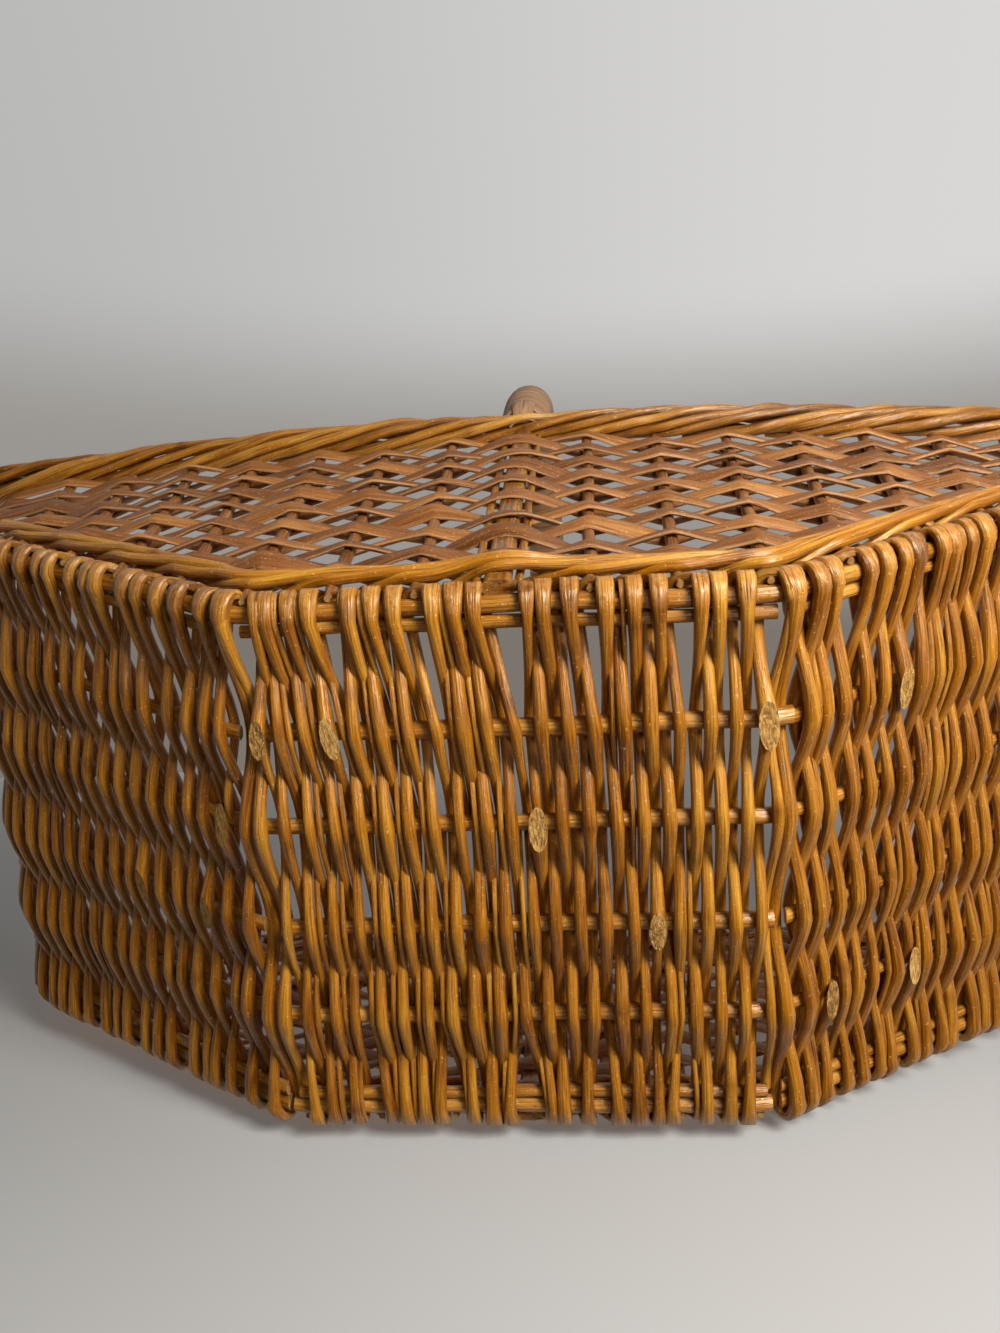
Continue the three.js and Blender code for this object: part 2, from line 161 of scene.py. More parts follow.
@dataclass(frozen=True)
class StripPlace:
    """A place along the strip that makes the bottom and both ends."""

    way: float
    x: float
    z: float
    tilt: float
    half_width: float

    @property
    def out(self) -> Vector:
        """The direction out of the basket, square to the strip."""
        return Vector((self.way * math.sin(self.tilt), 0, -math.cos(self.tilt)))

    def point(self, y: float, out: float) -> Vector:
        """Gives the point across the strip at y, set off outwards."""
        return Vector((self.x, y, self.z)) + self.out * out


@dataclass(frozen=True)
class WallLine:
    """A straight line up a long wall, from the strip's edge to the rim."""

    foot: Vector
    head: Vector
    up: Vector
    out: Vector
    facing: float

    def point(self, z: float, out: float) -> Vector:
        """Gives the point of the line at a level, set off outwards."""
        climb = (z - self.foot.z) / self.up.z
        return self.foot + self.up * climb + self.out * out

    def lifted(self, height: float, out: float) -> Vector:
        """Gives the point at a height square above the strip's middle layer, set off outwards."""
        return self.foot + self.up * (height / self.facing) + self.out * out


@dataclass(frozen=True)
class BasketForm:
    """Sizes of the whole basket, the same as those of its solids, and where things lie on it."""

    base_length: float = 190.0
    base_width: float = 210.0
    base_level: float = 7.9
    bend_radius: float = 30.0
    end_run: float = 188.0
    end_slope: float = math.radians(33)
    end_width: float = 237.0
    end_rise: float = math.radians(62)
    knuckle_radius: float = 40.0
    end_top_width: float = 224.0
    rim_height: float = 195.0
    rim_width: float = 300.0
    rim_bow: float = 13.0
    rim_corner: float = 30.0
    rim_radius: float = 8.0
    wall_inset: float = 6.0
    leg_inset_share: float = 0.5
    leg_inset_reach: float = 36.0
    stick_places: tuple[float, ...] = (-0.55, -0.2, 0.2, 0.57)
    stick_radius: float = 3.3
    partner_radius: float = 2.5
    partner_offset: float = 6.3
    edge_inset: float = 2.5
    stake_radius: float = 2.4
    stakes_per_half: int = 7
    last_stake_inset: float = 41.5
    stake_fan: float = 1.12
    bow_radius: float = 5.0
    leg_depth: float = 3.0
    leg_foot_out: float = 2.4

    @cached_property
    def stretches(self) -> list[tuple[float, float]]:
        """Lengths and bending radii, 0 for straight, of the strip's half from the middle of the bottom."""
        knee = self.end_rise - self.end_slope
        bend_tangent = self.bend_radius * math.tan(self.end_slope / 2)
        knee_tangent = self.knuckle_radius * math.tan(knee / 2)
        knuckle_z = self.base_level + self.end_run * math.sin(self.end_slope)
        rise = (self.rim_height - knuckle_z) / math.sin(self.end_rise)
        return [
            (self.base_length / 2 - bend_tangent, 0.0),
            (self.bend_radius * self.end_slope, self.bend_radius),
            (self.end_run - bend_tangent - knee_tangent, 0.0),
            (self.knuckle_radius * knee, self.knuckle_radius),
            (rise - knee_tangent, 0.0),
        ]

    @cached_property
    def strip_half(self) -> float:
        """Length of the strip from the middle of the bottom to the rim."""
        return sum(length for length, _ in self.stretches)

    @cached_property
    def rim_half_length(self) -> float:
        """Half the length of the mouth, between the middles of the rim."""
        return self.strip_at(self.strip_half).x

    @cached_property
    def stake_spacing(self) -> float:
        """Distance between the feet of two stakes, along X."""
        knuckle_x = self.base_length / 2 + self.end_run * math.cos(self.end_slope)
        return (knuckle_x - self.last_stake_inset) / self.stakes_per_half

    @cached_property
    def stake_lengths(self) -> list[float]:
        """Lengths along the strip at which the stakes and the handle's leg stand on its edge."""
        numbers = range(-self.stakes_per_half, self.stakes_per_half + 1)
        return [math.copysign(self.strip_length_at(abs(n) * self.stake_spacing), n) for n in numbers]

    @lru_cache(maxsize=None)
    def strip_at(self, u: float) -> StripPlace:
        """Gives the strip's place at a length from the middle of the bottom, negative to the left."""
        left, x, z, tilt = abs(u), 0.0, self.base_level, 0.0
        for length, radius in self.stretches:
            step = min(left, length)
            turned = tilt + step / radius if radius else tilt
            if radius:
                x += radius * (math.sin(turned) - math.sin(tilt))
                z += radius * (math.cos(tilt) - math.cos(turned))
            else:
                x += step * math.cos(tilt)
                z += step * math.sin(tilt)
            tilt = turned
            left -= step
        run = abs(u) - self.base_length / 2
        above = (run - self.end_run) / (self.strip_half - self.base_length / 2 - self.end_run)
        width = lerp(self.base_width, self.end_width, min(max(run / self.end_run, 0.0), 1.0))
        if above > 0:
            width = lerp(self.end_width, self.end_top_width, above)
        way = -1.0 if u < 0 else 1.0
        return StripPlace(way, way * x, z, tilt, width / 2)

    @lru_cache(maxsize=None)
    def strip_length_at(self, x: float) -> float:
        """Gives the length along the strip's right half at which it reaches x."""
        low, high = 0.0, self.strip_half
        while high - low > 1e-4:
            middle = (low + high) / 2
            low, high = (middle, high) if self.strip_at(middle).x < x else (low, middle)
        return low

    def rim_half_width_at(self, x: float) -> float:
        """Gives half the mouth's width at x, between the middles of the rim."""
        corner_x = self.rim_half_length - self.rim_corner
        beyond = abs(x) - corner_x
        if beyond <= 0:
            return self.rim_width / 2 - self.rim_bow * (x / corner_x) ** 2
        corner_y = self.rim_width / 2 - self.rim_bow - self.rim_corner
        return corner_y + math.sqrt(max(self.rim_corner ** 2 - beyond ** 2, 0.0))

    @lru_cache(maxsize=None)
    def wall_at(self, x: float, side: int) -> WallLine:
        """Gives the line up the front (-1) or back (+1) wall whose foot is at x."""
        edge = self.strip_at(math.copysign(self.strip_length_at(abs(x)), x))
        foot = Vector((x, side * edge.half_width, edge.z))
        head_x = x * self.stake_fan
        near_leg = math.exp(-(head_x / self.leg_inset_reach) ** 2)
        inset = self.wall_inset * (1 - self.leg_inset_share * near_leg)
        head = Vector((head_x, side * (self.rim_half_width_at(head_x) - inset), self.rim_height))
        up = (head - foot).normalized()
        return WallLine(foot, head, up, Vector((0, side * up.z, -side * up.y)), up.dot(-edge.out))

    @cached_property
    def rim_route(self) -> Route:
        """The rim's middle line, counter-clockwise seen from above."""
        corner_x = self.rim_half_length - self.rim_corner
        corner_y = self.rim_width / 2 - self.rim_bow - self.rim_corner
        side_steps, corner_steps = 40, 14
        quarter = [(corner_x * k / side_steps, self.rim_half_width_at(corner_x * k / side_steps))
                   for k in range(side_steps)]
        for k in range(corner_steps + 1):
            angle = math.pi / 2 * (1 - k / corner_steps)
            quarter.append((corner_x + self.rim_corner * math.cos(angle),
                            corner_y + self.rim_corner * math.sin(angle)))
        front_right = [(x, -y) for x, y in quarter]
        right = front_right + [(x, y) for x, y in reversed(quarter)]
        left = [(-x, -y) for x, y in right]
        return Route([Vector((x, y, self.rim_height)) for x, y in right[:-1] + left[:-1]], closed=True)


@dataclass
class Strand:
    """A line of points with a thickness: one rod, split or strip of cane.

    The facing is the direction that the thin side of a flat strand looks to. The start cut is the direction
    that the face of its first end is turned to, with the steepness of the cut as its length. A press is the
    direction in which the section is pressed flat at a point, with the share of its radius that it loses as
    its length.
    """

    points: list[Vector]
    radii: list[float]
    tone: float
    facing: list[Vector] | None = None
    start_cut: Vector | None = None
    presses: list[Vector] | None = None
    knot_spacing: float = 0.0

    def knots(self, seed: int) -> list[float]:
        """Gives how near each point is to a leaf knot, from 0 to 1.

        Args:
            seed: The seed of the knots' places.

        Returns:
            One value for each point.
        """
        if not self.knot_spacing:
            return [0.0] * len(self.points)
        rng = random.Random(seed)
        reach, nearness = 0.0, []
        knot_half = 4.5
        knot = rng.uniform(0.2, 1.0) * self.knot_spacing
        for before, point in zip(self.points[:1] + self.points, self.points):
            reach += (point - before).length
            while reach > knot + knot_half:
                knot += rng.uniform(0.5, 1.5) * self.knot_spacing
            nearness.append(max(0.0, 1 - abs(reach - knot) / knot_half))
        return nearness


class Section(Enum):
    """Cross-sections of strands: how many sides they have, and their thickness as a share of their width."""

    ROD = (12, 1.0)
    STICK = (14, 1.0)
    SPLIT = (12, 0.33)
    CANE = (8, 0.2)

    @property
    def sides(self) -> int:
        """The number of corners round the section."""
        return self.value[0]

    @property
    def flatness(self) -> float:
        """Thickness over width."""
        return self.value[1]


class RodSweep:
    """A Geometry Nodes tree that sweeps a section along strands, caps them and gives them their finishes."""

    WORKING_ATTRIBUTES = ("facing", "thickness", "middle", "shift_along", "shift_by", "limit")
    KNOT_SWELL = 0.12
    PATTERN_SHIFT = 0.37

    def __init__(self) -> None:
        """Builds the tree."""
        self.tree = bpy.data.node_groups.new("rod_sweep", "GeometryNodeTree")
        ports = self.tree.interface
        ports.new_socket("Strands", in_out="INPUT", socket_type="NodeSocketGeometry")
        self.inputs = {
            name: ports.new_socket(name, in_out="INPUT", socket_type=kind).identifier
            for name, kind in (("Sides", "NodeSocketInt"), ("Flatness", "NodeSocketFloat"),
                               ("Bark", "NodeSocketMaterial"), ("Cut", "NodeSocketMaterial"))
        }
        ports.new_socket("Rods", in_out="OUTPUT", socket_type="NodeSocketGeometry")
        self._connect()

    def _connect(self) -> None:
        """Adds and links the nodes."""
        tree = self.tree
        given = add_node(tree, "NodeGroupInput").outputs
        vectors = {
            name: add_node(tree, "GeometryNodeInputNamedAttribute", {"data_type": "FLOAT_VECTOR"},
                           {"Name": name}).outputs["Attribute"]
            for name in ("facing", "middle", "shift_along", "shift_by")
        }
        thickness, limit = (
            add_node(tree, "GeometryNodeInputNamedAttribute", {"data_type": "FLOAT"}, {"Name": name})
            for name in ("thickness", "limit")
        )
        place = add_node(tree, "GeometryNodeInputPosition").outputs["Position"]
        lines = add_node(tree, "GeometryNodeMeshToCurve", None, {"Mesh": given["Strands"]})
        turned = add_node(tree, "GeometryNodeSetCurveNormal", {"mode": "FREE"},
                          {"Curve": lines.outputs["Curve"], "Normal": vectors["facing"]})
        circle = add_node(tree, "GeometryNodeCurvePrimitiveCircle", None,
                          {"Resolution": given["Sides"], "Radius": 1.0})
        marked = add_node(tree, "GeometryNodeStoreNamedAttribute", {"data_type": "FLOAT_VECTOR"},
                          {"Geometry": circle.outputs["Curve"], "Name": "girth", "Value": place})
        squash = add_node(tree, "ShaderNodeCombineXYZ", None, {"X": given["Flatness"], "Y": 1.0, "Z": 1.0})
        section = add_node(tree, "GeometryNodeTransform", None,
                           {"Geometry": marked.outputs["Geometry"], "Scale": squash.outputs["Vector"]})
        tubes = add_node(tree, "GeometryNodeCurveToMesh", None,
                         {"Curve": turned.outputs["Curve"], "Profile Curve": section.outputs["Geometry"],
                          "Scale": thickness.outputs["Attribute"], "Fill Caps": True})
        off_middle = add_node(tree, "ShaderNodeVectorMath", {"operation": "SUBTRACT"},
                              {0: place, 1: vectors["middle"]})
        depth = add_node(tree, "ShaderNodeVectorMath", {"operation": "DOT_PRODUCT"},
                         {0: off_middle.outputs["Vector"], 1: vectors["shift_by"]})
        back = add_node(tree, "ShaderNodeMath", {"operation": "MULTIPLY"},
                        {0: limit.outputs["Attribute"], 1: -1.0})
        kept = add_node(tree, "ShaderNodeClamp", None,
                        {"Value": depth.outputs["Value"], "Min": back.outputs["Value"],
                         "Max": limit.outputs["Attribute"]})
        lost = add_node(tree, "ShaderNodeMath", {"operation": "SUBTRACT"},
                        {0: depth.outputs["Value"], 1: kept.outputs["Result"]})
        shift = add_node(tree, "ShaderNodeVectorMath", {"operation": "SCALE"},
                         {0: vectors["shift_along"], "Scale": lost.outputs["Value"]})
        sloped = add_node(tree, "GeometryNodeSetPosition", None,
                          {"Geometry": tubes.outputs["Mesh"], "Offset": shift.outputs["Vector"]})
        corners = add_node(tree, "GeometryNodeInputMeshFaceNeighbors")
        is_cap = add_node(tree, "FunctionNodeCompare", {"data_type": "INT", "operation": "GREATER_THAN"},
                          {"A": corners.outputs["Vertex Count"], "B": 4})
        is_bark = add_node(tree, "FunctionNodeBooleanMath", {"operation": "NOT"},
                           {0: is_cap.outputs["Result"]})
        smooth = add_node(tree, "GeometryNodeSetShadeSmooth", None,
                          {"Geometry": sloped.outputs["Geometry"],
                           "Shade Smooth": is_bark.outputs["Boolean"]})
        whole = add_node(tree, "GeometryNodeRealizeInstances", None, {"Geometry": smooth.outputs["Geometry"]})
        bark = add_node(tree, "GeometryNodeSetMaterial", None,
                        {"Geometry": whole.outputs["Geometry"], "Material": given["Bark"]})
        cut = add_node(tree, "GeometryNodeSetMaterial", None,
                       {"Geometry": bark.outputs["Geometry"], "Selection": is_cap.outputs["Result"],
                        "Material": given["Cut"]})
        add_node(tree, "NodeGroupOutput", None, {"Rods": cut.outputs["Geometry"]})

    @staticmethod
    def _lines(name: str, strands: Sequence[Strand]) -> bpy.types.Mesh:
        """Makes a mesh of bare lines that carries the strands' attributes.

        Args:
            name: The mesh's name.
            strands: The strands, in millimetres.

        Returns:
            The mesh, in metres.
        """
        points: list[Vector] = []
        edges: list[tuple[int, int]] = []
        shown = ("tone", "reach", "knot", "fold")
        values: dict[str, list[float]] = {key: [] for key in (*RodSweep.WORKING_ATTRIBUTES, *shown)}
        for number, strand in enumerate(strands):
            first, last = len(points), len(strand.points) - 1
            reach = RodSweep.PATTERN_SHIFT * number
            knots = strand.knots(number)
            for k, point in enumerate(strand.points):
                before, after = strand.points[max(k - 1, 0)], strand.points[min(k + 1, last)]
                heading = (after - before).normalized()
                reach += (point - before).length * MM
                cut = strand.start_cut if k == 0 else None
                facing = strand.facing[k] if strand.facing else (UP if abs(heading.z) < 0.9 else LENGTHWISE)
                points.append(point * MM)
                values["facing"].extend(facing)
                values["thickness"].append(strand.radii[k] * (1 + RodSweep.KNOT_SWELL * knots[k]) * MM)
                values["knot"].append(knots[k])
                values["middle"].extend(point * MM)
                press = strand.presses[k] if strand.presses and not cut else Vector()
                values["shift_along"].extend(heading if cut else -press.normalized())
                values["shift_by"].extend(cut or press.normalized())
                values["limit"].append(0.0 if cut else strand.radii[k] * (1 - press.length) * MM)
                values["fold"].append(press.length)
                values["tone"].append(strand.tone)
                values["reach"].append(reach)
            edges.extend((first + k, first + k + 1) for k in range(last))
        mesh = bpy.data.meshes.new(name)
        mesh.from_pydata(points, edges, [])
        for key, flat in values.items():
            vector = len(flat) > len(points)
            layer = mesh.attributes.new(key, "FLOAT_VECTOR" if vector else "FLOAT", "POINT")
            layer.data.foreach_set("vector" if vector else "value", flat)
        return mesh

    def sweep(self, name: str, strands: Sequence[Strand], section: Section, bark: bpy.types.Material,
              cut: bpy.types.Material) -> bpy.types.Object:
        """Makes a plain mesh object of swept strands.

        Args:
            name: The piece's name.
            strands: The strands of the piece.
            section: Their cross-section.
            bark: The finish of their skin.
            cut: The finish of their cut ends.

        Returns:
            The piece, linked into the scene.
        """
        obj = bpy.data.objects.new(name, self._lines(name, strands))
        bpy.context.scene.collection.objects.link(obj)
        modifier = obj.modifiers.new("sweep", "NODES")
        modifier.node_group = self.tree
        chosen = {"Sides": section.sides, "Flatness": section.flatness, "Bark": bark, "Cut": cut}
        for key, value in chosen.items():
            modifier[self.inputs[key]] = value
        graph = bpy.context.evaluated_depsgraph_get()
        mesh = bpy.data.meshes.new_from_object(obj.evaluated_get(graph))
        obj.modifiers.clear()
        lines, obj.data = obj.data, mesh
        bpy.data.meshes.remove(lines)
        for key in self.WORKING_ATTRIBUTES:
            mesh.attributes.remove(mesh.attributes[key])
        mesh.name = name
        return obj


@dataclass(frozen=True)
class WoodFinish:
    """A finish of peeled willow or cane: streaks along it, slow changes of tone, flecks, pits and knots.

    Streak, patch, crack, fleck and pit sizes and the relief are in millimetres. Levels are those of a noise
    pattern that become 0 and 1.
    """

    name: str
    dark: str
    middle: str
    light: str
    pale: str
    roughness: float
    coat: float
    streak_width: float = 0.8
    streak_length: float = 18.0
    patch_length: float = 38.0
    crack: float = 0.5
    crack_length: float = 26.0
    # Painted shade: how much a rod's flanks are darkened where they lie against their neighbours.
    flank_shade: float = 0.0
    fleck: float = 0.9
    fleck_share: float = 0.75
    pit: float = 2.4
    relief: float = 0.22
    tone_share: float = 0.3
    # How pale a flat strand's edges are: partly real wear, partly a painted highlight.
    edge_wear_and_sheen: float = 0.0
    # Warm dark brown, used for real cracks, pits and knots and also for the painted shade on rods' flanks.
    DIRT_AND_SHADE: ClassVar[str] = "#7a4010"
    SHINE: ClassVar[str] = "#ffe0ae"
    COAT: ClassVar[str] = "#fff1de"
    COAT_ROUGHNESS: ClassVar[float] = 0.17
    VARNISH_IOR: ClassVar[float] = 1.55
    STREAK_LEVELS: ClassVar[tuple[float, float]] = (0.36, 0.64)
    CRACK_LEVELS: ClassVar[tuple[float, float]] = (0.58, 0.66)
    FLECK_LEVELS: ClassVar[tuple[float, float]] = (0.65, 0.72)
    PIT_EDGES: ClassVar[tuple[float, float]] = (0.06, 0.2)
    PIT_DEPTH: ClassVar[float] = 0.5
    KNOT_DEPTH: ClassVar[float] = 0.5
    CRACK_DEPTH: ClassVar[float] = 0.7
    BUMP: ClassVar[float] = 0.7

    def material(self) -> bpy.types.Material:
        """Builds the material.

        Returns:
            The material, whose streaks follow the strands' own attributes.
        """
        material = bpy.data.materials.new(self.name)
        material.use_nodes = True
        tree = material.node_tree
        tree.nodes.clear()
        read = {
            key: add_node(tree, "ShaderNodeAttribute", {"attribute_name": key}).outputs[output]
            for key, output in (("girth", "Vector"), ("reach", "Fac"), ("tone", "Fac"), ("knot", "Fac"),
                                ("fold", "Fac"))
        }
        place = add_node(tree, "ShaderNodeTexCoord").outputs["Object"]
        streaks = self._fibres(tree, read, self.streak_width, self.streak_length, self.STREAK_LEVELS)
        cracks = self._fibres(tree, read, self.crack, self.crack_length, self.CRACK_LEVELS)
        patches = self._patches(tree, read)
        pits = add_node(tree, "ShaderNodeTexVoronoi", {"feature": "F1"},
                        {"Vector": place, "Scale": 1 / (self.pit * MM)})
        flecks = add_node(tree, "ShaderNodeTexNoise", None,
                          {"Vector": place, "Scale": 1 / (self.fleck * MM), "Detail": 2.0})
        rest = 1 - self.tone_share
        toned = add_node(tree, "ShaderNodeMath", {"operation": "MULTIPLY"},
                         {0: read["tone"], 1: self.tone_share})
        patched = add_node(tree, "ShaderNodeMath", {"operation": "MULTIPLY_ADD"},
                           {0: patches, 1: 0.5 * rest, 2: toned.outputs["Value"]})
        streaked = add_node(tree, "ShaderNodeMath", {"operation": "MULTIPLY_ADD"},
                            {0: streaks, 1: 0.5 * rest, 2: patched.outputs["Value"]})
        ramp = add_node(tree, "ShaderNodeValToRGB", None, {"Fac": streaked.outputs["Value"]})
        stops = ramp.color_ramp.elements
        stops[0].position, stops[0].color = 0.15, linear(self.dark)
        stops[1].position, stops[1].color = 0.85, linear(self.light)
        stops.new(0.5).color = linear(self.middle)
        worn = add_node(tree, "ShaderNodeMapRange", {"interpolation_type": "SMOOTHSTEP"},
                        {"Value": flecks.outputs["Fac"], "From Min": self.FLECK_LEVELS[0],
                         "From Max": self.FLECK_LEVELS[1], "To Min": 0.0, "To Max": self.fleck_share})
        flecked = add_node(tree, "ShaderNodeMix", {"data_type": "RGBA"},
                           {"Factor": worn.outputs["Result"], 6: ramp.outputs["Color"], 7: linear(self.pale)})
        scuffs = self._scuffs(tree, place, read["fold"])
        scuffed = add_node(tree, "ShaderNodeMix", {"data_type": "RGBA"},
                           {"Factor": scuffs, 6: flecked.outputs["Result"], 7: linear(self.pale)})
        skin = scuffed.outputs["Result"]
        # Pale edges: partly worn fibres, partly a painted highlight.
        if self.edge_wear_and_sheen:
            skin = self._worn_and_sheened_edges(tree, read["girth"], skin)
        # Painted shade on the rod's flanks, between it and its neighbours.
        if self.flank_shade:
            skin = self._painted_flank_shade(tree, read["girth"], skin)
        pitted = add_node(tree, "ShaderNodeMapRange", {"interpolation_type": "SMOOTHSTEP"},
                          {"Value": pits.outputs["Distance"], "From Min": self.PIT_EDGES[0],
                           "From Max": self.PIT_EDGES[1], "To Min": 1 - self.PIT_DEPTH, "To Max": 1.0})
        knotted = add_node(tree, "ShaderNodeMath", {"operation": "MULTIPLY_ADD"},
                           {0: read["knot"], 1: -self.KNOT_DEPTH, 2: pitted.outputs["Result"]})
        cracked = add_node(tree, "ShaderNodeMath", {"operation": "MULTIPLY_ADD"},
                           {0: cracks, 1: -self.CRACK_DEPTH, 2: knotted.outputs["Value"]})
        dirty = add_node(tree, "ShaderNodeMath", {"operation": "SUBTRACT"},
                         {0: 1.0, 1: cracked.outputs["Value"]})
        colour = add_node(tree, "ShaderNodeMix", {"data_type": "RGBA", "blend_type": "MULTIPLY"},
                          {"Factor": dirty.outputs["Value"], 6: skin, 7: linear(self.DIRT_AND_SHADE)})
        gloss = add_node(tree, "ShaderNodeMapRange", None,
                         {"Value": patches, "To Min": self.roughness - 0.07, "To Max": self.roughness + 0.12})
        varnish = add_node(tree, "ShaderNodeMath", {"operation": "MULTIPLY_ADD"},
                           {0: scuffs, 1: -1.5 * self.coat, 2: self.coat})
        height = add_node(tree, "ShaderNodeMath", {"operation": "MULTIPLY_ADD"},
                          {0: cracked.outputs["Value"], 1: 0.8, 2: streaks})
        bump = add_node(tree, "ShaderNodeBump", None,
                        {"Strength": self.BUMP, "Distance": self.relief * MM,
                         "Height": height.outputs["Value"]})
        shader = add_node(tree, "ShaderNodeBsdfPrincipled", None,
                          {"Base Color": colour.outputs["Result"], "Roughness": gloss.outputs["Result"],
                           "IOR": self.VARNISH_IOR, "Specular Tint": linear(self.SHINE),
                           "Coat Weight": varnish.outputs["Value"],
                           "Coat Roughness": self.COAT_ROUGHNESS, "Coat Tint": linear(self.COAT),
                           "Normal": bump.outputs["Normal"], "Coat Normal": bump.outputs["Normal"]})
        add_node(tree, "ShaderNodeOutputMaterial", None, {"Surface": shader.outputs["BSDF"]})
        return material

    def _fibres(self, tree: bpy.types.NodeTree, read: dict[str, bpy.types.NodeSocket], width: float,
                length: float, spread: tuple[float, float]) -> bpy.types.NodeSocket:
        """Adds fine lines along the strand.

        Args:
            tree: The material's tree.
            read: The strand's attributes.
            width: Width of a line.
            length: Length of a line.
            spread: The noise levels that become 0 and 1.

        Returns:
            The lines, from 0 to 1.
        """
        rod_radius = 2.5
        across = add_node(tree, "ShaderNodeVectorMath", {"operation": "SCALE"},
                          {0: read["girth"], "Scale": rod_radius / width})
        along = add_node(tree, "ShaderNodeMath", {"operation": "MULTIPLY"},
                         {0: read["reach"], 1: 1 / (length * MM)})
        lengthwise = add_node(tree, "ShaderNodeCombineXYZ", None, {"Z": along.outputs["Value"]})
        grain = add_node(tree, "ShaderNodeVectorMath", {"operation": "ADD"},
                         {0: across.outputs["Vector"], 1: lengthwise.outputs["Vector"]})
        fibres = add_node(tree, "ShaderNodeTexNoise", None,
                          {"Vector": grain.outputs["Vector"], "Scale": 1.0, "Detail": 3.0, "Roughness": 0.6})
        lines = add_node(tree, "ShaderNodeMapRange", None,
                         {"Value": fibres.outputs["Fac"], "From Min": spread[0], "From Max": spread[1]})
        return lines.outputs["Result"]

    def _scuffs(self, tree: bpy.types.NodeTree, place: bpy.types.NodeSocket,
                fold: bpy.types.NodeSocket) -> bpy.types.NodeSocket:
        """Adds pale scuffs where a rod is folded flat round an edge, from 0 to about a half."""
        scuff_size = 2.6
        noise = add_node(tree, "ShaderNodeTexNoise", None,
                         {"Vector": place, "Scale": 1 / (scuff_size * MM), "Detail": 4.0, "Roughness": 0.65})
        rubbed = add_node(tree, "ShaderNodeMapRange", None,
                          {"Value": noise.outputs["Fac"], "From Min": 0.38, "From Max": 0.66,
                           "To Min": 0.0, "To Max": 0.32})
        scuffs = add_node(tree, "ShaderNodeMath", {"operation": "MULTIPLY"},
                          {0: rubbed.outputs["Result"], 1: fold})
        return scuffs.outputs["Value"]

    def _painted_flank_shade(self, tree: bpy.types.NodeTree, girth: bpy.types.NodeSocket,
                     colour: bpy.types.NodeSocket) -> bpy.types.NodeSocket:
        """Adds painted shade on the flanks of a rod, where its neighbours would shade it, in a warm dark
        brown.
        """
        parts = add_node(tree, "ShaderNodeSeparateXYZ", None, {0: girth})
        crown = add_node(tree, "ShaderNodeMath", {"operation": "ABSOLUTE"}, {0: parts.outputs["X"]})
        shade = add_node(tree, "ShaderNodeMapRange", {"interpolation_type": "SMOOTHSTEP"},
                         {"Value": crown.outputs["Value"], "From Min": 0.1, "From Max": 0.8,
                          "To Min": self.flank_shade, "To Max": 0.0})
        mixed = add_node(tree, "ShaderNodeMix", {"data_type": "RGBA", "blend_type": "MULTIPLY"},
                         {"Factor": shade.outputs["Result"], 6: colour, 7: linear(self.DIRT_AND_SHADE)})
        return mixed.outputs["Result"]

    def _patches(self, tree: bpy.types.NodeTree,
                 read: dict[str, bpy.types.NodeSocket]) -> bpy.types.NodeSocket:
        """Adds slow changes of tone along the strand, from 0 to 1."""
        along = add_node(tree, "ShaderNodeMath", {"operation": "MULTIPLY"},
                         {0: read["reach"], 1: 1 / (self.patch_length * MM)})
        apart = add_node(tree, "ShaderNodeMath", {"operation": "MULTIPLY"}, {0: read["tone"], 1: 57.0})
        line = add_node(tree, "ShaderNodeCombineXYZ", None,
                        {"X": along.outputs["Value"], "Y": apart.outputs["Value"]})
        sided = add_node(tree, "ShaderNodeVectorMath", {"operation": "MULTIPLY_ADD"},
                         {0: read["girth"], 1: (0.3, 0.3, 0.3), 2: line.outputs["Vector"]})
        tones = add_node(tree, "ShaderNodeTexNoise", None,
                         {"Vector": sided.outputs["Vector"], "Scale": 1.0, "Detail": 3.0})
        spread = add_node(tree, "ShaderNodeMapRange", None,
                          {"Value": tones.outputs["Fac"], "From Min": 0.3, "From Max": 0.7})
        return spread.outputs["Result"]

    def _worn_and_sheened_edges(self, tree: bpy.types.NodeTree, girth: bpy.types.NodeSocket,
                    colour: bpy.types.NodeSocket) -> bpy.types.NodeSocket:
        """Adds pale edges to a flat strand: partly torn, worn fibres and partly a painted highlight."""
        parts = add_node(tree, "ShaderNodeSeparateXYZ", None, {0: girth})
        width = add_node(tree, "ShaderNodeMath", {"operation": "ABSOLUTE"}, {0: parts.outputs["Y"]})
        edge = add_node(tree, "ShaderNodeMapRange", {"interpolation_type": "SMOOTHSTEP"},
                        {"Value": width.outputs["Value"], "From Min": 0.8, "From Max": 1.0,
                         "To Min": 0.0, "To Max": self.edge_wear_and_sheen})
        mixed = add_node(tree, "ShaderNodeMix", {"data_type": "RGBA"},
                         {"Factor": edge.outputs["Result"], 6: colour, 7: linear(self.pale)})
        return mixed.outputs["Result"]


